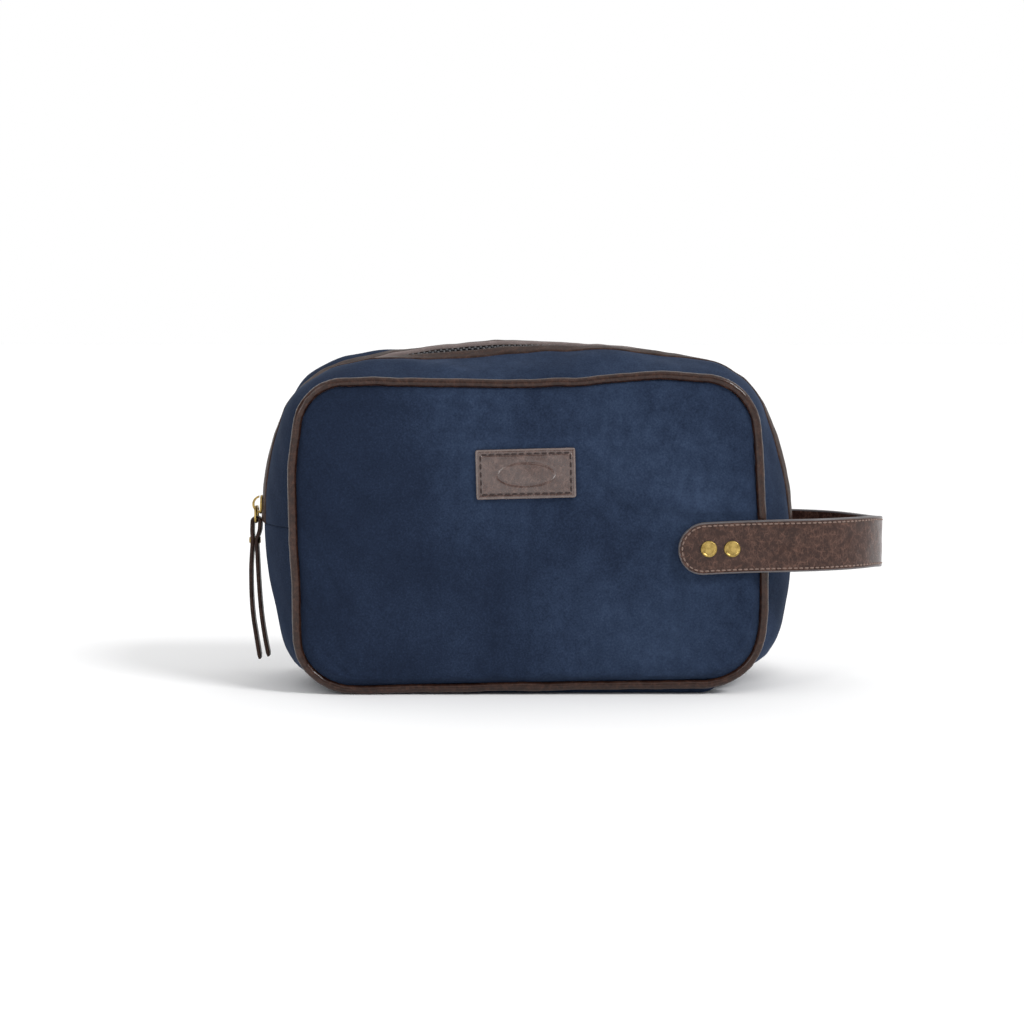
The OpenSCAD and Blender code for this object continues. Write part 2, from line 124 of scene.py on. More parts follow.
class Outline:
    """Half of a closed outline made of tangent arcs; the other half is its mirror image.

    side_r, top_r and bottom_r are the radii of the side, the upper corner and the lower corner.
    rise is how far the crown of the top stands above its ends."""

    def __init__(self, half_w, side_r, top, top_r, rise, bottom, bottom_r):
        self.dims = (half_w, side_r, top, top_r, rise, bottom, bottom_r)
        self.side_c = (half_w - side_r, SEAM_Z)
        self.side_r = side_r
        self.top_r = top_r
        self.bottom_r = bottom_r
        self.bottom = bottom
        self.top_a = math.degrees(math.asin((top - rise - top_r - SEAM_Z) / (side_r - top_r)))
        self.bottom_a = -math.degrees(
            math.asin((SEAM_Z - bottom - bottom_r) / (side_r - bottom_r))
        )
        self.top_c = self._along(side_r - top_r, self.top_a)
        self.bottom_c = self._along(side_r - bottom_r, self.bottom_a)
        drop = (self.top_c[0] ** 2 - rise**2) / (2 * rise)
        self.crown_c = (0.0, self.top_c[1] - drop)
        self.crown_r = top - self.crown_c[1]
        self.crown_a = math.degrees(math.atan2(drop, self.top_c[0]))

    def _along(self, radius, angle):
        a = math.radians(angle)
        return (self.side_c[0] + radius * math.cos(a), self.side_c[1] + radius * math.sin(a))

    def inset(self, d):
        """The same outline, smaller by d all round."""
        half_w, side_r, top, top_r, rise, bottom, bottom_r = self.dims
        return Outline(half_w - d, side_r - d, top - d, top_r - d, rise, bottom + d, bottom_r - d)

    def upper_half(self):
        """From the seam on the right up to the middle of the top."""
        return np.concatenate([
            arc(self.side_c, self.side_r, 0, self.top_a, 40, skip_first=False),
            arc(self.top_c, self.top_r, self.top_a, self.crown_a, 34),
            arc(self.crown_c, self.crown_r, self.crown_a, 90, 56),
        ])

    def lower_half(self):
        """From the middle of the base round to the seam on the right."""
        flat = np.linspace(0, 1, 57)[:, None] * [[self.bottom_c[0], 0]] + [[0, self.bottom]]
        return np.concatenate([
            flat,
            arc(self.bottom_c, self.bottom_r, -90, self.bottom_a, 28),
            arc(self.side_c, self.side_r, self.bottom_a, 0, 48),
        ])

    def upper_path(self):
        """From seam to seam over the top."""
        half = self.upper_half()
        return np.concatenate([half, (half * [-1, 1])[-2::-1]])

    def lower_path(self):
        """From seam to seam under the base."""
        half = self.lower_half()
        return np.concatenate([(half * [-1, 1])[::-1], half[1:]])

    def loop(self):
        """The whole outline, from the middle of the base."""
        half = np.concatenate([self.lower_half(), self.upper_half()[1:]])
        return np.concatenate([half, (half * [-1, 1])[-2:0:-1]])

    def half_width(self, z):
        """Half width of the chord at height z, for an array of heights."""
        z = np.asarray(z, float)
        width = self.side_c[0] + np.sqrt(np.maximum(self.side_r**2 - (z - SEAM_Z) ** 2, 0))
        for centre, radius, inside in (
            (self.top_c, self.top_r, z > self._along(self.side_r, self.top_a)[1]),
            (self.bottom_c, self.bottom_r, z < self._along(self.side_r, self.bottom_a)[1]),
        ):
            chord = centre[0] + np.sqrt(np.maximum(radius**2 - (z - centre[1]) ** 2, 0))
            width = np.where(inside, chord, width)
        return width


BELLY = Outline(BELLY_HALF_W, side_r=172, top=BELLY_TOP, top_r=44, rise=7.3, bottom=0, bottom_r=14)
PIPE = Outline(
    PIPING_BOX[1][0] - PIPE_R,
    side_r=650,
    top=PIPING_BOX[1][2] - PIPE_R,
    top_r=24,
    rise=1.5,
    bottom=PIPING_BOX[0][2] + PIPE_R,
    bottom_r=32,
)
RIM = PIPE.inset(PIPE_R + 0.15)


# ---------------------------------------------------------------- fields of small shape changes


class Waves:
    """Smooth, repeatable noise: a sum of sine waves in fixed directions."""

    def __init__(self, seed, size, count=14):
        rng = np.random.default_rng(seed)
        direction = rng.normal(size=(count, 3))
        direction /= np.linalg.norm(direction, axis=1)[:, None]
        self.k = direction * (2 * math.pi / size) * rng.uniform(0.6, 1.7, (count, 1))
        self.phase = rng.uniform(0, 2 * math.pi, count)
        self.scale = math.sqrt(2.0 / count)

    def __call__(self, points):
        return np.sin(points @ self.k.T + self.phase).sum(-1) * self.scale


def smooth(t):
    """0 to 1 with level ends, as t goes from 0 to 1."""
    t = np.clip(t, 0, 1)
    return t * t * (3 - 2 * t)


def bell(x, centre, width):
    """1 at the centre, falling off over the width to both sides."""
    return np.exp(-(((x - centre) / width) ** 2))


def rounded_edge(distance, reach):
    """1 at an edge and 0 from reach inwards, along a quarter circle."""
    t = np.clip(1 - distance / reach, 0, 1)
    return 1 - np.sqrt(1 - t * t)


BROAD = Waves(11, 70)
MEDIUM = Waves(23, 26)
FINE = Waves(37, 9)


def lean(points):
    """The slack of the bag. The front rim dips at the middle of the top, rises at the upper
    right, slopes in towards the top on the right, and is lower at the left of the base than at
    the right. The gusset bulges low on the right, and its lower corners are rounder than an
    even arch."""
    p = np.array(points, float)
    x, y, z = p[..., 0], p[..., 1], p[..., 2]
    share = np.clip(-y / NECK_Y, 0, 1)
    middle = np.clip(1 - (y / NECK_Y) ** 4, 0, 1)
    left = smooth((-x - 20) / 100)
    right = smooth((x - 20) / 100)
    high = smooth((z - 110) / 50)
    low = smooth((40 - z) / 38) * smooth(z / 5)
    upper_left = 0.6 * ((z - 90) / 55) ** 2 - 0.9 * bell(z, 120, 18)
    lower_left = 0.9 * bell(z, 60, 16) - 2.2 * bell(z, 16, 13)
    dx = left * np.where(z > 90, upper_left, lower_left)
    dx += right * (1.2 * bell(z, 142, 22) - 1.3 * bell(z, 24, 14) - 0.055 * (z - 92))
    dz = high * (2.0 * bell(x, 95, 55) - 1.7 * bell(x, -5, 55))
    dz += high * (2.1 * bell(x, 68, 28) + 0.8 * bell(x, -90, 30))
    dz += low * (0.5 + 0.0165 * x - 0.6 * bell(x, -95, 40))
    slump = right * (3.6 * bell(z, 46, 24) + 3.4 * bell(z, 25, 14) - 9.5 * smooth((17 - z) / 13))
    slump += left * (10.0 * smooth((13 - z) / 10) - 2.2 * bell(z, 22, 12))
    p[..., 0] += dx * share + slump * middle
    p[..., 2] += dz * share
    return p


def gusset_points(rim_path, belly_path, ys):
    """Grid of points: stations along the outline by columns over the list of depths."""
    ys = np.asarray(ys, float)
    rim = rim_path[:, None, :]
    belly = belly_path[:, None, :]
    y = np.broadcast_to(ys[None, :], (len(rim_path), len(ys)))
    side = np.where(np.abs(y) >= NECK_Y, 0, 1 - (y / NECK_Y) ** 2)
    bend = np.clip((np.abs(y) - BASE_FLAT_Y) / (NECK_Y - BASE_FLAT_Y), 0, 1)
    low = np.broadcast_to(rim[..., 1] < SEAM_Z, y.shape)
    flat_base = 1 - smooth((np.abs(rim[..., 0]) - 86) / 24)
    kz = np.where(low, side + (1 - bend**4 - side) * flat_base, side)
    x = rim[..., 0] + (belly[..., 0] - rim[..., 0]) * side
    z = rim[..., 1] + (belly[..., 1] - rim[..., 1]) * kz
    points = np.stack([x, y, z], -1)
    return lean(points + outward(belly_path)[:, None, :] * puff_height(points)[..., None])


def outward(path):
    """Outward unit normals of a path that runs anticlockwise, as 3-D vectors."""
    step = np.gradient(path, axis=0)
    step /= np.linalg.norm(step, axis=1)[:, None]
    return np.stack([step[:, 1], np.zeros(len(step)), -step[:, 0]], -1)


def puff_height(points):
    """How far the fabric of the gusset stands out from its even arch. It humps at the upper
    corners, most of all behind, dips along the zip there and at the right shoulder, and tips
    forwards over the middle."""
    x, y, z = points[..., 0], points[..., 1], points[..., 2]
    across = np.sin(math.pi * np.clip(np.abs(y) / NECK_Y, 0, 1))
    leftward = x < 0
    corner = np.where(leftward, bell(x, -104, 34), bell(x, 116, 28)) * smooth((z - 118) / 40)
    hump = np.where(y > 0, np.where(leftward, 6.0, 2.0), np.where(leftward, 1.4, 1.0))
    hump = across * corner * hump
    pinch = -np.where(leftward, 6.4, 4.6) * corner * bell(y, 4, 13)
    shoulder = -3.6 * smooth((x - 60) / 40) * bell(z, 132, 24) * across
    middle = smooth((z - 150) / 25)
    roll = (0.29 * y * bell(y, 0, 25) * bell(x, -30, 62) - 1.3) * middle
    roll -= 1.7 * bell(y, -7, 8) * bell(x, -42, 34) * middle
    cloth = (0.55 * BROAD(points) + 0.3 * MEDIUM(points)) * np.minimum(across, 1)
    standing = smooth((z - 3) / 22)
    near_seam = bell(np.abs(y), NECK_Y, 7)
    pucker = 0.28 * near_seam * FINE(points)
    return (hump + pinch + shoulder + roll + cloth + pucker) * standing


# ---------------------------------------------------------------- mesh makers


def make_mesh(name, vertices, faces, material):
    """A smooth-shaded mesh object, from points in millimetres."""
    mesh = bpy.data.meshes.new(name)
    mesh.from_pydata((np.asarray(vertices, float) * MM).tolist(), [], faces)
    bm = bmesh.new()
    bm.from_mesh(mesh)
    bmesh.ops.recalc_face_normals(bm, faces=bm.faces)
    bm.to_mesh(mesh)
    bm.free()
    mesh.polygons.foreach_set("use_smooth", [True] * len(mesh.polygons))
    mesh.materials.append(material)
    piece = bpy.data.objects.new(name, mesh)
    bpy.context.scene.collection.objects.link(piece)
    return piece


def mark_faces(piece, material, marked):
    """Gives a second material to the faces whose points are all marked."""
    piece.data.materials.append(material)
    for face in piece.data.polygons:
        if all(marked[v] for v in face.vertices):
            face.material_index = 1


def grid_faces(rows, columns, offset=0, wrap_rows=False, wrap_columns=False):
    """Four-sided faces of a grid of points, joined end to end where it wraps."""
    faces = []
    for i in range(rows if wrap_rows else rows - 1):
        for j in range(columns if wrap_columns else columns - 1):
            i2 = (i + 1) % rows
            j2 = (j + 1) % columns
            corners = (i * columns + j, i * columns + j2, i2 * columns + j2, i2 * columns + j)
            faces.append(tuple(offset + corner for corner in corners))
    return faces


def shell(name, outer, inner, material):
    """The closed solid between two grids of points of the same size."""
    rows, columns = outer.shape[:2]
    count = rows * columns
    faces = grid_faces(rows, columns)
    faces += [f[::-1] for f in grid_faces(rows, columns, count)]
    for i in range(rows - 1):
        for j in (0, columns - 1):
            a, b = i * columns + j, (i + 1) * columns + j
            faces.append((a, b, b + count, a + count))
    for i in (0, rows - 1):
        for j in range(columns - 1):
            a, b = i * columns + j, i * columns + j + 1
            faces.append((a, b, b + count, a + count))
    vertices = np.concatenate([outer.reshape(-1, 3), inner.reshape(-1, 3)])
    return make_mesh(name, vertices, faces, material)


def closed_tube(name, path, radius, sides, material, bulge):
    """A round tube along a closed line of 3-D points; bulge gives what to add to the radius."""
    step = np.roll(path, -1, 0) - np.roll(path, 1, 0)
    step /= np.linalg.norm(step, axis=1)[:, None]
    side = np.cross(step, [0, 1, 0])
    side /= np.linalg.norm(side, axis=1)[:, None]
    up = np.cross(side, step)
    angle = np.linspace(0, 2 * math.pi, sides, endpoint=False)
    ring = np.cos(angle)[:, None] * side[:, None, :] + np.sin(angle)[:, None] * up[:, None, :]
    points = path[:, None, :] + radius * ring
    points = points + ring * bulge(points)[..., None]
    faces = grid_faces(len(path), sides, 0, True, True)
    return make_mesh(name, points.reshape(-1, 3), faces, material)


def capsule(length, radius_y, radius_z, rings=6, sides=8):
    """Vertices and faces of a small stitch or tooth that lies along X, centred on zero."""
    t = np.linspace(-1, 1, rings)
    x = t * length / 2
    r = np.sqrt(np.clip(1 - np.abs(t) ** 3.5, 0.02, 1))
    angle = np.linspace(0, 2 * math.pi, sides, endpoint=False)
    y = (r[:, None] * np.cos(angle) * radius_y).ravel()
    z = (r[:, None] * np.sin(angle) * radius_z).ravel()
    points = np.stack([np.repeat(x, sides), y, z], -1)
    faces = grid_faces(rings, sides, 0, False, True)
    faces.append(tuple(range(sides)))
    faces.append(tuple(range((rings - 1) * sides, rings * sides)))
    return points, faces


def scattered(name, item, places, material):
    """Copies of one small item joined into one mesh. A place is (origin, 3x3 axes in rows)."""
    points, faces = item
    vertices, all_faces = [], []
    for number, (origin, axes) in enumerate(places):
        vertices.append(points @ np.asarray(axes) + origin)
        shift = number * len(points)
        all_faces += [tuple(v + shift for v in f) for f in faces]
    return make_mesh(name, np.concatenate(vertices), all_faces, material)


def even_steps(path, pitch):
    """Points and unit tangents at even distances along a polyline, half a pitch from its ends."""
    path = np.asarray(path, float)
    length = np.concatenate([[0], np.cumsum(np.linalg.norm(np.diff(path, axis=0), axis=1))])
    count = max(int(length[-1] / pitch), 1)
    at = (np.arange(count) + 0.5) * length[-1] / count
    half_span = 0.3

    def point_at(distance):
        return np.stack([np.interp(distance, length, path[:, k]) for k in range(3)], -1)

    tangent = point_at(at + half_span) - point_at(at - half_span)
    return point_at(at), tangent / np.linalg.norm(tangent, axis=1)[:, None]


def stitch_places(path, normals_at, pitch, sink=0.0):
    """Places for stitches along a path; normals_at gives the surface normal at a point."""
    points, tangents = even_steps(path, pitch)
    places = []
    for point, tangent in zip(points, tangents):
        normal = np.asarray(normals_at(point), float)
        normal -= tangent * normal.dot(tangent)
        normal /= np.linalg.norm(normal)
        side = np.cross(normal, tangent)
        places.append((point - normal * sink, np.array([tangent, side, normal])))
    return places


# ---------------------------------------------------------------- materials


class Nodes:
    """Short calls for building one material's node tree."""

    def __init__(self, name):
        self.material = bpy.data.materials.new(name)
        self.material.use_nodes = True
        self.tree = self.material.node_tree
        self.shader = self.tree.nodes["Principled BSDF"]
        self.coords = self.add("ShaderNodeTexCoord").outputs["Object"]

    def add(self, kind, **settings):
        node = self.tree.nodes.new(kind)
        for key, value in settings.items():
            setattr(node, key, value)
        return node

    def link(self, source, target):
        self.tree.links.new(source, target)

    def stretched(self, scale):
        mapping = self.add("ShaderNodeMapping")
        mapping.inputs["Scale"].default_value = scale
        self.link(self.coords, mapping.inputs["Vector"])
        return mapping.outputs["Vector"]

    def noise(self, scale, detail=3.0, roughness=0.55, distortion=0.0, vector=None):
        node = self.add("ShaderNodeTexNoise")
        node.inputs["Scale"].default_value = scale
        node.inputs["Detail"].default_value = detail
        node.inputs["Roughness"].default_value = roughness
        node.inputs["Distortion"].default_value = distortion
        self.link(vector or self.coords, node.inputs["Vector"])
        return node.outputs["Fac"]

    def cells(self, scale, vector=None):
        node = self.add("ShaderNodeTexVoronoi", feature="DISTANCE_TO_EDGE")
        node.inputs["Scale"].default_value = scale
        self.link(vector or self.coords, node.inputs["Vector"])
        return node.outputs["Distance"]

    def ramp(self, value, stops):
        node = self.add("ShaderNodeValToRGB")
        elements = node.color_ramp.elements
        while len(elements) < len(stops):
            elements.new(0.5)
        for element, (place, colour) in zip(elements, stops):
            element.position = place
            element.color = (*colour, 1)
        self.link(value, node.inputs["Fac"])
        return node.outputs["Color"]

    def levels(self, value, low, high, to_low, to_high):
        node = self.add("ShaderNodeMapRange")
        for key, number in (
            ("From Min", low), ("From Max", high), ("To Min", to_low), ("To Max", to_high)
        ):
            node.inputs[key].default_value = number
        self.link(value, node.inputs["Value"])
        return node.outputs["Result"]

    def math(self, operation, a, b):
        node = self.add("ShaderNodeMath", operation=operation)
        for socket, value in zip(node.inputs, (a, b)):
            if isinstance(value, (int, float)):
                socket.default_value = value
            else:
                self.link(value, socket)
        return node.outputs["Value"]

    def mix(self, factor, a, b):
        node = self.add("ShaderNodeMix", data_type="RGBA")
        for socket, value in ((node.inputs[0], factor), (node.inputs[6], a), (node.inputs[7], b)):
            if isinstance(value, (int, float)):
                socket.default_value = value
            elif isinstance(value, tuple):
                socket.default_value = (*value, 1)
            else:
                self.link(value, socket)
        return node.outputs[2]

    def bump(self, height, strength, distance_mm, previous=None):
        node = self.add("ShaderNodeBump")
        node.inputs["Strength"].default_value = strength
        node.inputs["Distance"].default_value = distance_mm * MM
        self.link(height, node.inputs["Height"])
        if previous is not None:
            self.link(previous, node.inputs["Normal"])
        return node.outputs["Normal"]

    def finish(self, colour, roughness, normal, **fixed):
        for value, key in ((colour, "Base Color"), (roughness, "Roughness"), (normal, "Normal")):
            if isinstance(value, (int, float)):
                self.shader.inputs[key].default_value = value
            elif isinstance(value, tuple):
                self.shader.inputs[key].default_value = (*value, 1)
            elif value is not None:
                self.link(value, self.shader.inputs[key])
        for key, value in fixed.items():
            self.shader.inputs[key.replace("_", " ")].default_value = value
        return self.material


# Patches where the pile is brushed lighter or darker, which also paint light and shade, lighter over
# the upper middle and the right and darker at the left: X, Z, radius and how much lighter.
NAP_AND_PAINTED_LIGHT_PATCHES = (
    (-30, 150, 34, 0.17), (62, 140, 40, 0.18), (95, 95, 34, 0.15), (60, 40, 44, 0.12),
    (-5, 108, 30, 0.10), (-100, 140, 44, -0.13), (-112, 60, 40, -0.07),
)


def suede_material():
    """Short-napped navy suede: cloudy where the pile lies differently, finely fibrous, with painted
    light and shade: lighter towards the right, lighter patches over the upper middle and darker ones
    at the left.
    """
    n = Nodes("suede")
    clouds = n.noise(19, 2, 0.45, 0.15)
    strokes = n.noise(120, 5, 0.68, 0.3, n.stretched((1.0, 1.0, 0.85)))
    fibres = n.noise(1000, 3, 0.75)
    nap_and_painted_light = n.math("ADD", n.math("MULTIPLY", clouds, 0.36), n.math("MULTIPLY", strokes, 0.26))
    nap_and_painted_light = n.math("ADD", nap_and_painted_light, 0.175)
    # Painted light and shade: patches lighter over the upper middle and the right, darker at the
    # left, drawn as brushed pile.
    for x, z, radius, amount in NAP_AND_PAINTED_LIGHT_PATCHES:
        apart = n.add("ShaderNodeVectorMath", operation="DISTANCE")
        n.link(n.stretched((1.0, 0.4, 1.0)), apart.inputs[0])
        apart.inputs[1].default_value = (x * MM, -FACE_Y * 0.4 * MM, z * MM)
        lit = n.levels(apart.outputs["Value"], radius * 1.5 * MM, 0.0, 0.0, amount)
        nap_and_painted_light = n.math("ADD", nap_and_painted_light, n.math("MULTIPLY", lit, n.math("MULTIPLY", strokes, 2.0)))
    # Painted light: the suede is made lighter towards the right, where the light falls, and darker
    # to the left.
    across = n.add("ShaderNodeSeparateXYZ")
    n.link(n.coords, across.inputs["Vector"])
    nap_and_painted_light = n.math("ADD", nap_and_painted_light, n.levels(across.outputs["X"], -0.13, 0.13, -0.035, 0.045))
    nap_and_painted_light = n.math("ADD", nap_and_painted_light, n.math("MULTIPLY", n.math("SUBTRACT", fibres, 0.5), 0.55))
    colour = n.ramp(
        nap_and_painted_light,
        [
            (0.30, (0.0075, 0.0130, 0.0285)),
            (0.45, (0.0108, 0.0190, 0.0410)),
            (0.62, (0.0190, 0.0322, 0.0650)),
            (0.80, (0.0310, 0.0500, 0.0950)),
        ],
    )
    roughness = n.levels(nap_and_painted_light, 0.3, 0.7, 0.96, 0.84)
    normal = n.bump(n.noise(260, 4, 0.6), 0.22, 0.5)
    normal = n.bump(fibres, 0.35, 0.12, normal)
    return n.finish(
        colour,
        roughness,
        normal,
        Specular_IOR_Level=0.12,
        Sheen_Weight=0.07,
        Sheen_Roughness=0.38,
        Sheen_Tint=(0.42, 0.58, 0.9, 1.0),
    )


def leather_material(name, dark, light, grain, crease, rough, crease_glint, specular, coat=0.5):
    """Brown leather: pebbled grain under a net of fine creases that catch the light, their lines
    also painted lighter than the leather as a painted highlight. grain and crease are numbers of
    cells to the metre, and crease_glint is how strongly the creases show, in the bump and in the
    painted highlight."""
    n = Nodes(name)
    bent = []
    for scale, amount in ((crease * 0.5, 0.0035), (crease * 0.9, 0.0022)):
        warp = n.add("ShaderNodeTexNoise")
        warp.inputs["Scale"].default_value = scale
        warp.inputs["Detail"].default_value = 3
        n.link(n.coords, warp.inputs["Vector"])
        shifted = n.add("ShaderNodeVectorMath", operation="MULTIPLY_ADD")
        n.link(warp.outputs["Color"], shifted.inputs[0])
        shifted.inputs[1].default_value = (amount, amount, amount)
        n.link(n.coords, shifted.inputs[2])
        turned = n.add("ShaderNodeMapping")
        turned.inputs["Rotation"].default_value = (0, math.radians(35), 0)
        turned.inputs["Scale"].default_value = (1.0, 1.0, 0.5)
        n.link(shifted.outputs["Vector"], turned.inputs["Vector"])
        bent.append(turned.outputs["Vector"])
    broad = n.levels(n.cells(crease, vector=bent[0]), 0.0, 0.10, 1.0, 0.0)
    fine = n.levels(n.cells(crease * 2.1, vector=bent[1]), 0.0, 0.14, 1.0, 0.0)
    lines = n.math("MAXIMUM", broad, n.math("MULTIPLY", fine, 0.6))
    tone = n.noise(crease * 0.4, 3, 0.55, 0.3)
    broken = n.levels(n.noise(crease * 0.8, 2), 0.4, 0.6, 0.15, 1.0)
    lines = n.math("MULTIPLY", lines, broken)
    # Painted highlight: the crease lines are added into the colour, so they come out lighter than
    # the leather round them.
    shade = n.math("ADD", n.math("MULTIPLY", tone, 0.45), n.math("MULTIPLY", lines, crease_glint))
    colour = n.ramp(shade, [(0.2, dark), (0.74, light)])
    roughness = n.levels(tone, 0.3, 0.7, rough[0], rough[1])
    normal = n.bump(n.noise(crease * 0.3, 3, 0.5), 0.3, 0.8)
    normal = n.bump(lines, 1.1 * crease_glint, 0.12, normal)
    normal = n.bump(n.levels(n.cells(grain), 0.0, 0.22, 0.0, 1.0), 0.2, 0.05, normal)
    return n.finish(
        colour, roughness, normal, Specular_IOR_Level=specular, Coat_Weight=coat, Coat_Roughness=0.16
    )


def brass_material():
    """Aged satin brass with faint handling marks."""
    n = Nodes("brass")
    tarnish = n.noise(220, 4, 0.6, 0.8)
    marks = n.noise(900, 3, 0.6, 0.0, n.stretched((1.0, 1.0, 6.0)))
    colour = n.ramp(tarnish, [(0.32, (0.23, 0.150, 0.042)), (0.6, (0.50, 0.355, 0.115))])
    roughness = n.levels(marks, 0.3, 0.7, 0.24, 0.42)
    normal = n.bump(marks, 0.12, 0.05)
    return n.finish(colour, roughness, normal, Metallic=1.0)


def thread_material(name, colour):
    """Twisted thread."""
    n = Nodes(name)
    strands = n.noise(2600, 2, 0.6)
    tone = n.mix(strands, tuple(c * 0.6 for c in colour), tuple(min(c * 1.35, 1) for c in colour))
    return n.finish(tone, 0.72, n.bump(strands, 0.5, 0.12), Sheen_Weight=0.15)


def woven_material(name, dark, light, threads, rough=0.8):
    """Plain woven cloth: crossing threads at a set number to the metre."""
    n = Nodes(name)
    waves = []
    for direction in ("X", "Z"):
        wave = n.add("ShaderNodeTexWave", wave_type="BANDS", bands_direction=direction)
        wave.inputs["Scale"].default_value = threads
        wave.inputs["Distortion"].default_value = 0.6
        n.link(n.coords, wave.inputs["Vector"])
        waves.append(wave.outputs["Fac"])
    weave = n.math("MULTIPLY", waves[0], waves[1])
    colour = n.mix(n.math("MULTIPLY", n.math("ADD", weave, n.noise(60)), 0.6), dark, light)
    return n.finish(colour, rough, n.bump(weave, 0.5, 0.2), Sheen_Weight=0.1)


def plain_material(name, colour, rough, grain):
    """A solid plastic, paint or board with a fine surface."""
    n = Nodes(name)
    spots = n.noise(grain, 3, 0.6)
    tone = n.mix(spots, tuple(c * 0.75 for c in colour), tuple(min(c * 1.2, 1) for c in colour))
    roughness = n.levels(spots, 0.3, 0.7, rough - 0.08, rough + 0.08)
    return n.finish(tone, roughness, n.bump(spots, 0.2, 0.1))


def floor_material():
    """Matt white sweep, with a barely visible mottle."""
    n = Nodes("floor")
    tone = n.ramp(n.noise(6, 3), [(0.3, (0.950, 0.950, 0.953)), (0.7, (0.965, 0.965, 0.967))])
    return n.finish(tone, 0.95, n.bump(n.noise(300), 0.02, 0.1), Specular_IOR_Level=0.0)


SUEDE = suede_material()
PIPING_LEATHER = leather_material(
    "piping_leather", (0.020, 0.0076, 0.0047), (0.088, 0.038, 0.024),
    grain=1600, crease=560, rough=(0.28, 0.38), crease_glint=0.24, specular=0.16, coat=0.4,
)
STRAP_LEATHER = leather_material(
    "strap_leather", (0.029, 0.0112, 0.0076), (0.130, 0.064, 0.045),
    grain=1300, crease=460, rough=(0.3, 0.4), crease_glint=0.42, specular=0.16, coat=0.35,
)
LABEL_LEATHER = leather_material(
    "label_leather", (0.045, 0.0200, 0.0150), (0.170, 0.100, 0.080),
    grain=1200, crease=420, rough=(0.2, 0.3), crease_glint=0.26, specular=0.75,
)
# Lighter, glossier leather on the label's bevel: a painted highlight along its edges.
LABEL_BEVEL_HIGHLIGHT = leather_material(
    "label_bevel_highlight", (0.12, 0.088, 0.078), (0.26, 0.205, 0.19),
    grain=1200, crease=420, rough=(0.2, 0.3), crease_glint=0.1, specular=0.6,
)
TRIM_LEATHER = leather_material(
    "trim_leather", (0.019, 0.0080, 0.0055), (0.082, 0.042, 0.030),
    grain=1500, crease=520, rough=(0.45, 0.6), crease_glint=0.30, specular=0.12, coat=0.12,
)
# Lighter leather on the trim's rounded lip towards the teeth: a painted highlight along the zip.
TRIM_LIP_HIGHLIGHT = leather_material(
    "trim_lip_highlight", (0.15, 0.115, 0.108), (0.32, 0.26, 0.25),
    grain=1500, crease=520, rough=(0.35, 0.5), crease_glint=0.1, specular=0.3,
)
EDGE_PAINT = plain_material("edge_paint", (0.100, 0.090, 0.093), 0.36, 700)
BRASS = brass_material()
STRAP_THREAD = thread_material("strap_thread", (0.20, 0.130, 0.102))
LABEL_THREAD = thread_material("label_thread", (0.020, 0.0065, 0.0048))
ZIP_TAPE = woven_material("zip_tape", (0.012, 0.012, 0.014), (0.03, 0.03, 0.034), 900)
ZIP_COIL = plain_material("zip_coil", (0.040, 0.040, 0.046), 0.34, 900)
LINING = woven_material("lining", (0.035, 0.038, 0.047), (0.07, 0.076, 0.09), 700, 0.62)
BOARD = plain_material("board", (0.03, 0.03, 0.03), 0.6, 300)
FLOOR = floor_material()


# ---------------------------------------------------------------- the gusset


def columns(stops, step=2.2):
    """Depths between the given stops, no further apart than step, the stops included."""
    out = [stops[0]]
    for a, b in zip(stops, stops[1:]):
        count = max(int(math.ceil(abs(b - a) / step)), 1)
        out += [a + (b - a) * (i + 1) / count for i in range(count)]
    return np.array(out)


def path_distance(path):
    """Distance of each station from the nearer end of a path."""
    step = np.linalg.norm(np.diff(path, axis=0), axis=1)
    s = np.concatenate([[0], np.cumsum(step)])
    return np.minimum(s, s[-1] - s)


def with_end_rows(path, distances=(0.25, 0.6, 1.1)):
    """The same path with a few extra stations close to both ends, to carry a rolled edge."""
    def extra(a, b):
        step = (b - a) / np.linalg.norm(b - a)
        return [a + step * d for d in distances]

    head = extra(path[0], path[1])
    tail = extra(path[-1], path[-2])[::-1]
    return np.concatenate([path[:1], head, path[1:-1], tail, path[-1:]])


def seam_roll(path):
    """How far the fabric curls in at the two end seams of a strip, at each station."""
    radius = 1.1
    return radius * rounded_edge(path_distance(path), radius)[:, None, None]


def upper_gusset(side):
    """Outer fabric, lining, trim, tape and coil of one half; side is -1 in front."""
    label = "front" if side < 0 else "back"
    rim = with_end_rows(RIM.upper_path())
    belly = with_end_rows(BELLY.upper_path())

    under_trim = [TRIM_OUTER + 1.6, TRIM_OUTER + 0.5, TRIM_OUTER - 1.0]
    skin_y = columns([RIM_Y, NECK_Y, 40, *under_trim]) * side
    surface = gusset_points(rim, belly, skin_y)
    normal = outward(belly)[:, None, :]
    outer = surface - normal * seam_roll(belly)
    pieces = {"skin": shell(f"gusset_upper_{label}", outer, surface - normal * SKIN_T, SUEDE)}

    lining_y = columns([RIM_Y, NECK_Y, 40, 16]) * side
    surface = gusset_points(rim, belly, lining_y)
    pieces["lining"] = shell(
        f"gusset_lining_{label}",
        surface - normal * (SKIN_T + 0.15),
        surface - normal * (SKIN_T + 0.15 + LINING_T),
        LINING,
    )

    pieces["trim"] = trim_strip(f"zip_trim_{label}", rim, belly, side)

    tape_y = columns([16, 2.2], 1.5) * side
    surface = gusset_points(rim, belly, tape_y)
    pieces["tape"] = shell(
        f"zip_tape_{label}",
        surface - normal * SKIN_T,
        surface - normal * (SKIN_T + 0.6),
        ZIP_TAPE,
    )
    pieces["coil"] = coil(f"zip_coil_{label}", rim, belly, side)
    return pieces


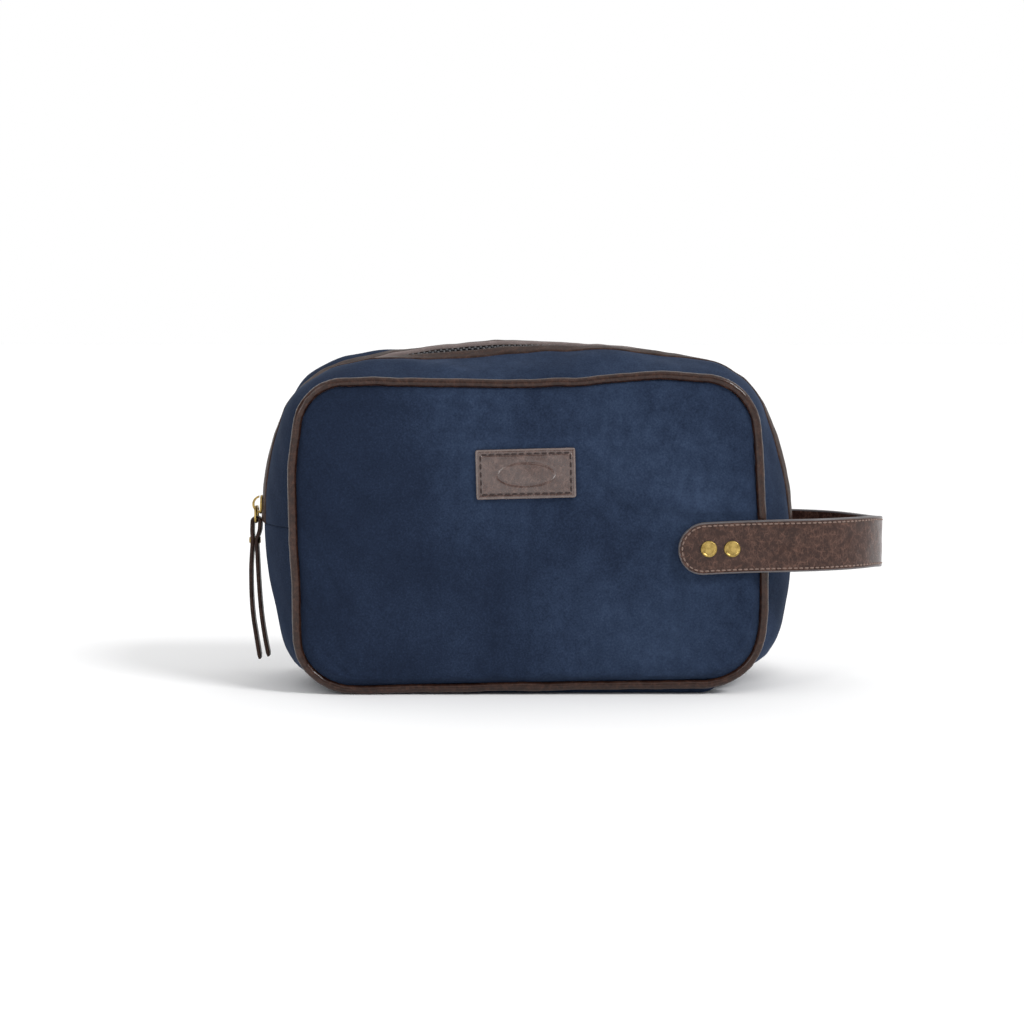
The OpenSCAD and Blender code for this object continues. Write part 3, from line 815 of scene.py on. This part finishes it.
def trim_strip(name, rim, belly, side):
    """Leather strip beside the zip, rounded towards the teeth and thin at its outer edge; its
    rounded lip is painted lighter as a highlight.
    """
    across = np.array([0, 0.12, 0.3, 0.6, 1.0, 1.6, 2.6, 3.8, 5.0, 6.2, 6.9, 7.25, 7.4])
    height = np.array([-0.35, 0.35, 0.75, 1.1, 1.3, 1.38, 1.3, 1.12, 0.95, 0.8, 0.6, 0.3, 0.0])
    ys = (TRIM_INNER + across) * side
    surface = gusset_points(rim, belly, ys)
    normal = outward(belly)[:, None, :]
    rows = path_distance(belly)
    end = smooth(rows / 1.2)[:, None]
    worn = 0.08 * MEDIUM(surface * 2.1)
    outer = surface + normal * ((height[None, :] + worn) * (0.25 + 0.75 * end))[..., None]
    inner = surface - normal * 0.9
    strip = shell(name, outer, inner, TRIM_LEATHER)
    # The lip next to the teeth takes the lighter leather, a painted highlight.
    lip = np.tile(across <= 1.0, len(belly))
    mark_faces(strip, TRIM_LIP_HIGHLIGHT, np.concatenate([lip, lip]))
    return strip


TOOTH_PITCH = 1.55


def coil(name, rim, belly, side):
    """The turns of one half of the zip, in mesh with the other half's."""
    centre = gusset_points(rim, belly, [0.9 * side])[:, 0]
    points, tangents = even_steps(centre, TOOTH_PITCH)
    chosen = range(2 if side < 0 else 3, len(points) - 2, 2)
    places = []
    for i in chosen:
        tangent = tangents[i]
        normal = np.cross(tangent, [0, 1, 0])
        normal /= np.linalg.norm(normal)
        if normal @ (points[i] - [0, 0, 90]) < 0:
            normal = -normal
        across = np.cross(normal, tangent)
        places.append((points[i] - normal * 0.75, np.array([across, tangent, normal])))
    return scattered(name, capsule(4.4, 0.78, 0.95, 7, 10), places, ZIP_COIL)


def lower_gusset():
    """The strip down both sides and under the base, and its lining."""
    rim = with_end_rows(RIM.lower_path())
    belly = with_end_rows(BELLY.lower_path())
    stops = [-RIM_Y, -NECK_Y, -BASE_FLAT_Y, -20, 20, BASE_FLAT_Y, NECK_Y, RIM_Y]
    ys = columns(stops, 2.4)
    surface = gusset_points(rim, belly, ys)
    normal = outward(belly)[:, None, :]
    skin = shell(
        "lower_gusset", surface - normal * seam_roll(belly), surface - normal * SKIN_T, SUEDE
    )
    lining = shell(
        "lower_gusset_lining",
        surface - normal * (SKIN_T + 0.05),
        surface - normal * (SKIN_T + 0.05 + LINING_T),
        LINING,
    )
    return skin, lining


# ---------------------------------------------------------------- panels


def panel_grid(outline, nu, nv):
    """Rows of points that fill an outline; each row spans the chord at its height."""
    low, high = outline.bottom, outline.top_c[1] + outline.top_r
    t = np.linspace(0, math.pi, nv)
    v = 0.5 - 0.5 * np.cos(t)
    v = 0.65 * v + 0.35 * np.linspace(0, 1, nv)
    z = low + (high - low) * v
    width = outline.half_width(z)
    s = np.linspace(-1, 1, nu)
    u = np.sin(s * math.pi / 2) * 0.35 + s * 0.65
    x = u[None, :] * width[:, None]
    rise = outline.crown_r + outline.crown_c[1] - high
    crown = rise * (1 - (x / outline.top_c[0]) ** 2) * smooth((z[:, None] - high + 20) / 20)
    return np.stack([x, z[:, None] + crown], -1)


def distance_inside(points, outline):
    """Distance of 2-D points from an outline, taken along its dense loop of points."""
    loop = outline.loop()
    flat = points.reshape(-1, 2)
    out = np.empty(len(flat))
    for start in range(0, len(flat), 2000):
        part = flat[start : start + 2000]
        out[start : start + 2000] = np.sqrt(
            ((part[:, None, :] - loop[None, :, :]) ** 2).sum(-1).min(1)
        )
    return out.reshape(points.shape[:2])


def upright(flat, y):
    """3-D points of a panel from its flat ones and their depths."""
    return np.stack([flat[..., 0], np.broadcast_to(y, flat.shape[:2]), flat[..., 1]], -1)


def panel_height(points, distance, noise_y):
    """How far a padded panel stands in front of its edge plane, in millimetres."""
    at = upright(points, noise_y)
    crown = 4.9 * (1 - np.exp(-((distance / 2.9) ** 1.5)))
    hollow = 0.5 * (BROAD(at) - 1.0) + 0.18 * (MEDIUM(at) - 1.0)
    pull = 0.22 * bell(distance, 5, 6) * FINE(at)
    return crown + (hollow * smooth(distance / 25) + pull)


LABEL_X, LABEL_Z = 1, 117.6


def held_points(x, z, side):
    """Where a panel's skin can't move inside its rim: under the label and the strap."""
    strap = (x > STRAP_X0 - 4) & (np.abs(z - STRAP_Z) < STRAP_R + 5)
    label_zone = (np.abs(x - LABEL_X) < 31) & (np.abs(z - LABEL_Z) < 18)
    return strap | (label_zone if side < 0 else np.zeros_like(strap))


SIM_FRAMES = 21
MOST_SLACK = 1.5


def slackened(name, flat, height, side):
    """Cloth simulation of a panel's skin under gravity and the pressure of its foam, on every
    second row and column. Gives how far each point moves outwards, held to a small range."""
    rows, columns_n = flat.shape[:2]
    pick_r = np.unique(np.append(np.arange(0, rows, 2), rows - 1))
    pick_c = np.unique(np.append(np.arange(0, columns_n, 2), columns_n - 1))
    grid = np.ix_(pick_r, pick_c)
    x, z = flat[..., 0][grid], flat[..., 1][grid]
    start = np.stack([x, (RIM_Y + height[grid]) * side, z], -1)
    mesh = bpy.data.meshes.new(name)
    faces = grid_faces(*x.shape)
    if side < 0:
        faces = [f[::-1] for f in faces]
    mesh.from_pydata((start.reshape(-1, 3) * MM).tolist(), [], faces)
    skin = bpy.data.objects.new(name, mesh)
    bpy.context.scene.collection.objects.link(skin)
    held = held_points(x, z, side)
    held[:2] = held[-2:] = True
    held[:, :2] = held[:, -2:] = True
    group = skin.vertex_groups.new(name="held")
    group.add(np.flatnonzero(held.ravel()).tolist(), 1.0, "REPLACE")
    cloth = skin.modifiers.new("cloth", "CLOTH")
    settings = cloth.settings
    settings.quality = 5
    settings.mass = 0.25
    settings.tension_stiffness = 18
    settings.compression_stiffness = 18
    settings.shear_stiffness = 8
    settings.bending_stiffness = 0.35
    settings.vertex_group_mass = "held"
    settings.use_pressure = True
    settings.uniform_pressure_force = 0.35
    settings.shrink_min = -0.008
    scene = bpy.context.scene
    for step in range(SIM_FRAMES):
        scene.frame_set(step + 1)
    shape = skin.evaluated_get(bpy.context.evaluated_depsgraph_get())
    ends = np.empty(len(mesh.vertices) * 3)
    shape.data.vertices.foreach_get("co", ends)
    moved = (ends.reshape(start.shape) / MM - start)[..., 1] * side
    scene.frame_set(1)
    bpy.data.objects.remove(skin)
    bpy.data.meshes.remove(mesh)
    moved = MOST_SLACK * np.tanh(moved / MOST_SLACK)
    half = np.stack([np.interp(np.arange(columns_n), pick_c, row) for row in moved])
    return np.stack([np.interp(np.arange(rows), pick_r, column) for column in half.T], -1)


def panel(name, side, nu=210, nv=150):
    """A padded panel: its skin crowned towards the outside, its back flat."""
    flat = panel_grid(RIM, nu, nv)
    distance = distance_inside(flat, RIM)
    height = 0.3 + panel_height(flat, distance, 40.0 * side)
    height = height + slackened(name + "_slack", flat, height, side)
    outer = lean(upright(flat, (RIM_Y + height) * side))
    inner = lean(upright(flat, (RIM_Y + 0.4) * side))
    return shell(name, outer, inner, SUEDE)


def panel_lining(name, side, nu=90, nv=60):
    """The slack sheet of lining behind a panel."""
    flat = panel_grid(RIM, nu, nv)
    distance = distance_inside(flat, RIM)
    slack = 0.5 * (MEDIUM(upright(flat, 7.0 * side)) - 1.2) * smooth(distance / 20)
    outer = lean(upright(flat, (RIM_Y + slack) * side))
    inner = outer - np.array([0, LINING_T * side, 0])
    return shell(name, outer, inner, LINING)


def piping(name, side):
    """Leather-wrapped cord round a panel, with a lapped joint at the middle of the base."""
    loop = PIPE.loop()
    path = np.stack([loop[:, 0], np.full(len(loop), PIPE_Y * side), loop[:, 1]], -1)
    path = lean(path)
    wobble = np.stack([BROAD(path * 1.3) * 0.18, MEDIUM(path) * 0.14, MEDIUM(path + 50) * 0.12], -1)

    def bulge(points):
        x, z = points[..., 0], points[..., 2]
        joint = 0.28 * smooth((7 - np.abs(x - 1)) / 1.2) * (z < 40)
        corner = smooth((np.abs(x) - 86) / 20) * np.clip(np.abs(z - 85) / 70, 0, 1) ** 3
        return 0.05 * FINE(points) + joint + 0.07 * corner * FINE(points * 3.2)

    return closed_tube(name, path + wobble, PIPE_R, 20, PIPING_LEATHER, bulge)


# ---------------------------------------------------------------- label and strap


def label_emblem(u, w):
    """A plain pressed ornament: one wide oval groove."""
    half_u, half_w = 15.0, 6.2
    reach = np.hypot(u / half_u, w / half_w)
    slope = np.hypot(u / half_u**2, w / half_w**2) / np.maximum(reach, 0.05)
    return bell((reach - 1) / np.maximum(slope, 0.02), 0, 0.65)


def label_bend(u, w):
    """How far the label's worn face stands proud of a flat one."""
    at = np.stack([u, np.zeros_like(u), w], -1)
    return 0.26 * BROAD(at * 2.2 + 300) + 0.12 * MEDIUM(at * 1.6)


def label():
    """Leather label with a bevelled edge painted lighter as a highlight, a stitched border and a
    plain pressed ornament.
    """
    centre = (LABEL_BOX[0] + LABEL_BOX[1]) / 2
    half_w, half_h, corner = 26.2, 13.1, 1.3
    turn = math.radians(1.5)
    ax = np.array([math.cos(turn), 0, math.sin(turn)])
    az = np.array([-math.sin(turn), 0, math.cos(turn)])
    face = -LABEL_BOX[0][1]
    back = FACE_Y - 0.9

    def close_to_edges(half, count):
        edge = np.array([0, 0.1, 0.25, 0.45, 0.7, 1.0, 1.35, 1.8, 2.2])
        inner = np.linspace(2.6, 2 * half - 2.6, count)
        return np.concatenate([edge, inner, (2 * half - edge)[::-1]]) - half

    u, w = np.meshgrid(close_to_edges(half_w, 170), close_to_edges(half_h, 84), indexing="ij")
    over = np.maximum(np.abs(w) - (half_h - corner), 0)
    room = half_w - corner + np.sqrt(np.maximum(corner**2 - over**2, 0))
    u = u * room / half_w
    d = np.minimum(half_h - np.abs(w), room - np.abs(u))
    bevel = 0.95 * rounded_edge(d, 1.7)
    groove = 0.34 * bell(d, 2.6, 0.6)
    pressed = 0.34 * label_emblem(u, w)
    bend = label_bend(u, w)
    outer = centre * [1, 0, 1] + u[..., None] * ax + w[..., None] * az
    outer[..., 1] = -(face - bevel - groove - pressed + bend)
    inner = outer.copy()
    inner[..., 1] = -back
    piece = shell("label", outer, inner, LABEL_LEATHER)
    # The bevel all round takes the lighter leather, a painted highlight.
    mark_faces(piece, LABEL_BEVEL_HIGHLIGHT, np.concatenate([(d < 1.2).ravel()] * 2))

    inset = 2.6
    corners = [(-1, -1), (1, -1), (1, 1), (-1, 1), (-1, -1)]
    places = []
    for (x0, z0), (x1, z1) in zip(corners, corners[1:]):
        a = np.array([x0 * (half_w - inset), z0 * (half_h - inset)])
        b = np.array([x1 * (half_w - inset), z1 * (half_h - inset)])
        run = a + np.linspace(0, 1, 40)[:, None] * (b - a)
        line = centre * [1, 0, 1] + run[:, :1] * ax + run[:, 1:] * az
        line[:, 1] = -(face - 0.22 + label_bend(run[:, 0], run[:, 1]))
        places += stitch_places(line, lambda p: (0, -1, 0), 3.7)
    stitches = scattered("label_stitching", capsule(3.1, 0.52, 0.34), places, LABEL_THREAD)
    return piece, stitches


def strap_path(offset):
    """Plan of the strap at a given distance from the X axis: front run, bend, back run."""
    even = np.linspace(STRAP_X0, STRAP_BEND_X, 60)
    start = np.array([0, 0.05, 0.2, 0.5, 1.0, 1.7, 2.6, 3.8, 5.2, 6.8, 8.6, 10.6, 12.6])
    x_front = np.concatenate([STRAP_X0 + start, even[even > STRAP_X0 + 13.2]])
    a = np.radians(np.linspace(-90, 90, 90))
    bend = np.stack([STRAP_BEND_X + offset * np.cos(a), offset * np.sin(a)], -1)
    first = np.stack([x_front, np.full(len(x_front), -offset)], -1)
    last = (first * [1, -1])[::-1]
    path = np.concatenate([first[:-1], bend, last[1:]])
    round_the_bend = np.stack([np.cos(a), np.sin(a)], -1)
    straight = len(first) - 1
    normal = np.concatenate([[[0, -1]] * straight, round_the_bend, [[0, 1]] * straight])
    return path, normal


def strap_tilt(points):
    """The front run rises away from its rivets, the back run lies lower, and the loop droops
    at its far end."""
    p = np.array(points, float)
    away = np.maximum(p[..., 0] - 84, 0)
    front = smooth(0.5 - p[..., 1] / 70)
    p[..., 2] += front * (2.9 * (1 - np.exp(-away / 40)) - 0.4) - 1.1 * (1 - front)
    p[..., 2] -= 1.6 * bell(p[..., 1], 0, 34)
    return p


def strap_layer(name, inside, outside, material, edge):
    """One leather of the strap, from one plan offset to another, with rounded edges."""
    path, normal = strap_path((inside + outside) / 2)
    half_t = (outside - inside) / 2
    end = np.abs(path[:, 0] - STRAP_X0)
    straight = path[:, 0] < STRAP_X0 + STRAP_R
    reach = np.where(straight, np.sqrt(np.maximum(STRAP_R**2 - (STRAP_R - end) ** 2, 0)), STRAP_R)
    edge_d = np.array([0, 0.06, 0.16, 0.32, 0.55, 0.85, 1.3, 2.0, 3.0])
    inner_v = np.linspace(4.2, STRAP_R, 10)
    dist = np.concatenate([edge_d, inner_v])
    v = np.concatenate([-(1 - dist / STRAP_R), (1 - dist / STRAP_R)[-2::-1]])
    z = v[None, :] * reach[:, None]
    along = np.where(straight, end, 99.0)[:, None]
    radial = STRAP_R - np.sqrt((STRAP_R - np.minimum(along, STRAP_R)) ** 2 + z**2)
    d = np.maximum(np.minimum(STRAP_R - np.abs(z), radial), 0)
    fall = edge * rounded_edge(d, edge)
    base = np.stack(np.broadcast_arrays(path[:, :1], path[:, 1:], STRAP_Z + z), -1)
    n3 = np.stack([normal[:, 0], normal[:, 1], np.zeros(len(normal))], -1)[:, None, :]
    wave = 0.1 * MEDIUM(base) + 0.05 * FINE(base)
    free = smooth((path[:, 0] - 112) / 20)[:, None]
    groove = 0.22 * bell(d, 2.0, 0.5)
    outer = base + n3 * (half_t - fall - groove + wave * free)[..., None]
    inner = base - n3 * (half_t - fall - wave * free)[..., None]
    piece = shell(name, strap_tilt(outer), strap_tilt(inner), material)
    mark_faces(piece, EDGE_PAINT, np.concatenate([(d < 0.9).ravel()] * 2))
    return piece


def strap_stitching():
    """Two rows of stitches near the edges, joined round the riveted ends."""
    path, _ = strap_path(STRAP_OUT)
    row = STRAP_R - 2.0
    keep = path[:, 0] >= STRAP_X0 + STRAP_R
    upper = [[x, y, STRAP_Z + row] for x, y in path[keep]]
    a = np.radians(np.linspace(90, 270, 40))
    front = [
        [STRAP_X0 + STRAP_R + row * math.cos(t), -STRAP_OUT, STRAP_Z + row * math.sin(t)] for t in a
    ]
    back = [[x, -y, z] for x, y, z in front]
    lower = [[x, y, 2 * STRAP_Z - z] for x, y, z in upper]
    loop = np.array(upper[::-1] + front[1:-1] + lower + back[::-1][1:-1])

    def facing(point):
        if point[0] < STRAP_BEND_X:
            return (0, -1 if point[1] < 0 else 1, 0)
        return (point[0] - STRAP_BEND_X, point[1], 0)

    places = stitch_places(loop, facing, 2.9, 0.02)
    moved = [(strap_tilt(origin), axes) for origin, axes in places]
    return scattered("strap_stitching", capsule(2.3, 0.42, 0.30), moved, STRAP_THREAD)


# ---------------------------------------------------------------- zip slider and pull


# Radius and height of a rivet's cap, from its dished centre to the foot of its rim.
RIVET_PROFILE = (
    (0.0, 0.84), (1.5, 0.84), (2.7, 0.87), (3.1, 0.96), (3.35, 1.14), (3.6, 1.28), (3.9, 1.28),
    (4.15, 1.12), (4.32, 0.82), (4.38, 0.45), (4.38, 0.0),
)


def rivet_caps(name, side):
    """The pressed caps of the two rivets on one side, dished inside a rounded rim."""
    box = cad_box("strap_rivets_front" if side < 0 else "strap_rivets_back")
    radius = 4.5
    z = (box[0][2] + box[1][2]) / 2
    rings, sides_n = len(RIVET_PROFILE), 48
    angle = np.linspace(0, 2 * math.pi, sides_n, endpoint=False)
    points = np.array(
        [(r * math.cos(a), h * side, r * math.sin(a)) for r, h in RIVET_PROFILE[1:] for a in angle]
        + [(0, RIVET_PROFILE[0][1] * side, 0)]
    )
    faces = grid_faces(rings - 1, sides_n, 0, False, True)
    top = len(points) - 1
    faces += [(k, (k + 1) % sides_n, top) for k in range(sides_n)]
    faces.append(tuple(range((rings - 2) * sides_n, (rings - 1) * sides_n)))
    centres = (box[0][0] + radius, box[1][0] - radius)
    places = [(np.array([x, side * STRAP_OUT, z]), np.eye(3)) for x in centres]
    return scattered(name, (points, faces), places, BRASS)


RIBBON_BOX = cad_box("pull_ribbon")
RING_BOX = cad_box("pull_ring")
RING_WIRE_R = 0.75
RIBBON_T = 2.1
LOOP_R = 2.1
# X and Z of the thong's two tails, from the middle of the ring's wire.
TAIL_OUT = [
    (1.3, -75.6), (-0.6, -63), (-2.2, -52), (-3, -40),
    (-3.1, -26), (-2.5, -16), (-2.1, -10.2), (-2.3, -5),
]
TAIL_IN = [
    (1.7, -5), (0.15, -10.2), (0.4, -18), (0.9, -30),
    (1.6, -42), (2.6, -53), (4.2, -64), (6.1, -74.2),
]


def spline(points, per_span=6):
    """A smooth curve through a list of points."""
    p = np.array(points, float)
    p = np.concatenate([[2 * p[0] - p[1]], p, [2 * p[-1] - p[-2]]])
    out = []
    for i in range(1, len(p) - 2):
        for t in np.linspace(0, 1, per_span, endpoint=False):
            a, b, c, d = p[i - 1], p[i], p[i + 1], p[i + 2]
            out.append(
                0.5 * (2 * b + (c - a) * t + (2 * a - 5 * b + 4 * c - d) * t**2
                       + (3 * b - a - 3 * c + d) * t**3)
            )
    out.append(p[-2])
    return np.array(out)


def pull_ribbon():
    """The doubled thong with rounded edges and cut ends; its painted edges are drawn in the same
    trim leather as the rest.
    """
    centre_x = (RING_BOX[0][0] + RING_BOX[1][0]) / 2
    centre_z = RING_BOX[0][2] + RING_WIRE_R
    a = np.radians(np.linspace(180, 0, 17))
    loop = np.stack([LOOP_R * np.cos(a), LOOP_R * np.sin(a)], -1)
    line = spline([*TAIL_OUT, *loop[::2], *TAIL_IN])
    step = np.gradient(line, axis=0)
    step /= np.linalg.norm(step, axis=1)[:, None]
    normal = np.stack([-step[:, 1], step[:, 0]], -1)
    half_w = (RIBBON_BOX[1][1] - RIBBON_BOX[0][1]) / 2
    edge = np.array([0, 0.08, 0.22, 0.45, 0.8, 1.2, 1.8])
    v = np.concatenate([edge - half_w, [0], (half_w - edge)[::-1]])
    d = half_w - np.abs(v)
    fall = 0.7 * rounded_edge(d, 0.8)
    end_fall = 0.5 * rounded_edge(path_distance(line), 0.6)
    half = RIBBON_T / 2 - np.maximum(fall[None, :], end_fall[:, None])
    x, z = centre_x + line[:, 0], centre_z + line[:, 1]
    base = np.stack(np.broadcast_arrays(x[:, None], v[None, :], z[:, None]), -1)
    n3 = np.stack([normal[:, 0], np.zeros(len(normal)), normal[:, 1]], -1)[:, None, :]
    lift = n3 * half[..., None]
    return shell("pull_ribbon", base + lift, base - lift, TRIM_LEATHER)


# ---------------------------------------------------------------- put it together


def keep_on(piece, body, slot, *nodes):
    """A piece that rides on one body and stands for the CAD nodes named."""
    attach(piece, body)
    if nodes:
        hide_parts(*nodes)
    return piece


def bend_over(piece, start, end, slot, *nodes):
    """A piece with its transform baked into its mesh, standing for the CAD nodes named."""
    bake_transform(piece)
    if nodes:
        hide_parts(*nodes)
    return piece


front_panel = bend_over(
    panel("front_panel", -1), HINGE_START, HINGE_END, "suede",
    "front_panel_upper", "front_panel_lower", "front_padding_upper", "front_padding_lower",
)
back_panel = keep_on(panel("back_panel", 1), "root", "suede", "back_panel", "back_padding")
bend_over(
    panel_lining("front_lining", -1), HINGE_START, HINGE_END, "lining",
    "front_lining_upper", "front_lining_lower",
)
keep_on(panel_lining("back_lining_sheet", 1), "root", "lining", "back_lining")
bend_over(
    piping("front_piping", -1), HINGE_START, HINGE_END, "piping_leather",
    "front_piping_upper", "front_piping_lower", "front_cord_upper", "front_cord_lower",
)
keep_on(piping("back_piping_loop", 1), "root", "piping_leather", "back_piping", "back_piping_cord")

GUSSET_PIECES = (
    ("skin", "suede", "gusset_upper"),
    ("lining", "lining", "gusset_lining"),
    ("trim", "trim_leather", "zip_trim"),
    ("tape", "zip_tape", "zip_tape"),
    ("coil", "zip_coil", "zip_coil"),
)
front = upper_gusset(-1)
for key, slot, node in GUSSET_PIECES:
    bend_over(front[key], GUSSET_START, GUSSET_END, slot, node + "_front")
back = upper_gusset(1)
for key, slot, node in GUSSET_PIECES:
    keep_on(back[key], "root", slot, node + "_back")
low_skin, low_lining = lower_gusset()
keep_on(low_skin, "root", "suede", "lower_gusset")
keep_on(low_lining, "root", "lining", "lower_gusset_lining")

front_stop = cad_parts["zip_stop_front"].copy()
front_stop.data = front_stop.data.copy()
front_stop.name = "zip_stop_front_sewn"
front_stop.data.materials.clear()
front_stop.data.materials.append(BRASS)
bpy.context.scene.collection.objects.link(front_stop)
front_stop.parent = None
bend_over(front_stop, GUSSET_START, GUSSET_END, "brass", "zip_stop_front")

label_piece, label_stitches = label()
keep_on(label_piece, "front_flap", "label_leather", "label")
keep_on(label_stitches, "front_flap", "label_leather")

keep_on(
    strap_layer("hand_strap_outer", STRAP_MID, STRAP_OUT, STRAP_LEATHER, 0.75),
    "root", "strap_leather", "hand_strap",
)
keep_on(
    strap_layer("hand_strap_inner", FACE_Y, STRAP_MID, STRAP_LEATHER, 0.6),
    "root", "strap_leather", "hand_strap_lining",
)
keep_on(strap_stitching(), "root", "strap_leather")
keep_on(rivet_caps("rivet_caps_front", -1), "root", "brass", "strap_rivets_front")
keep_on(rivet_caps("rivet_caps_back", 1), "root", "brass", "strap_rivets_back")
keep_on(pull_ribbon(), "pull", "trim_leather", "pull_ribbon")

for node, material in (
    ("zip_slider", BRASS),
    ("pull_ring", BRASS),
    ("pull_rivet", BRASS),
    ("zip_stop_back", BRASS),
    ("zip_end_stop", BRASS),
    ("base_board", BOARD),
):
    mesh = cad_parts[node].data
    mesh.materials.clear()
    mesh.materials.append(material)


# ---------------------------------------------------------------- stage, light and camera


FLOOR_HALF_M = 40.0


def stage():
    """A pale floor that runs to the horizon."""
    floor_mesh = bpy.data.meshes.new("floor")
    half = FLOOR_HALF_M
    corners = [(-half, -half, 0), (half, -half, 0), (half, half, 0), (-half, half, 0)]
    floor_mesh.from_pydata(corners, [], [(0, 1, 2, 3)])
    floor_mesh.materials.append(FLOOR)
    floor = bpy.data.objects.new("floor", floor_mesh)
    bpy.context.scene.collection.objects.link(floor)


def hang(light, place, direction):
    """Puts a light in the scene, aimed along a direction."""
    lamp = bpy.data.objects.new(light.name, light)
    bpy.context.scene.collection.objects.link(lamp)
    lamp.location = place
    lamp.rotation_mode = "QUATERNION"
    lamp.rotation_quaternion = Vector(direction).to_track_quat("-Z", "Y")


def studio():
    """A white world with a bright horizon and a glow overhead, darker between them towards the
    front left, and two soft lights."""
    world = bpy.data.worlds.new("studio")
    bpy.context.scene.world = world
    world.use_nodes = True
    tree = world.node_tree

    def add(kind, **settings):
        node = tree.nodes.new(kind)
        for key, value in settings.items():
            setattr(node, key, value)
        return node

    def ramp_up(source, low, high, top):
        node = add("ShaderNodeMapRange", interpolation_type="SMOOTHSTEP")
        node.inputs["From Min"].default_value = low
        node.inputs["From Max"].default_value = high
        node.inputs["To Max"].default_value = top
        tree.links.new(source, node.inputs["Value"])
        return node.outputs["Result"]

    def join(operation, a, b):
        node = add("ShaderNodeMath", operation=operation)
        for socket, value in zip(node.inputs, (a, b)):
            if isinstance(value, float):
                socket.default_value = value
            else:
                tree.links.new(value, socket)
        return node.outputs["Value"]

    axes = add("ShaderNodeSeparateXYZ")
    tree.links.new(add("ShaderNodeTexCoord").outputs["Generated"], axes.inputs["Vector"])
    behind = join("ADD", axes.outputs["Y"], join("MULTIPLY", axes.outputs["X"], 0.45))
    overhead = ramp_up(axes.outputs["Z"], 0.3, 0.8, 0.92)
    horizon = ramp_up(join("SUBTRACT", 0.27, axes.outputs["Z"]), 0.0, 0.17, 1.0)
    glow = join("MAXIMUM", ramp_up(behind, -0.3, 0.3, 1.0), overhead)
    glow = join("MAXIMUM", glow, horizon)
    glow = join("MAXIMUM", glow, 0.16)
    background = tree.nodes["Background"]
    tree.links.new(glow, background.inputs["Strength"])
    background.inputs["Color"].default_value = (1, 1, 1, 1)

    key = bpy.data.lights.new("key", "SUN")
    key.energy = 1.6
    key.angle = math.radians(18)
    hang(key, (0.6, -0.48, 0.64), (-0.60, 0.48, -0.64))

    strip = bpy.data.lights.new("strip", "AREA")
    strip.shape = "RECTANGLE"
    strip.size, strip.size_y = 0.22, 0.6
    strip.energy = 3.0
    hang(strip, (-0.66, -1.12, 0.56), (0.66, 1.07, -0.47))


def camera():
    """A long lens a little above the top of the pouch, looking slightly down."""
    data = bpy.data.cameras.new("camera")
    data.lens = 77.0
    data.sensor_width = 36.0
    shot = bpy.data.objects.new("camera", data)
    bpy.context.scene.collection.objects.link(shot)
    shot.location = (-0.0082, -1.197, 0.190)
    shot.rotation_euler = (math.radians(90 - 4.62), 0, 0)
    bpy.context.scene.camera = shot


stage()
studio()
camera()
bpy.context.scene.view_settings.view_transform = "Standard"
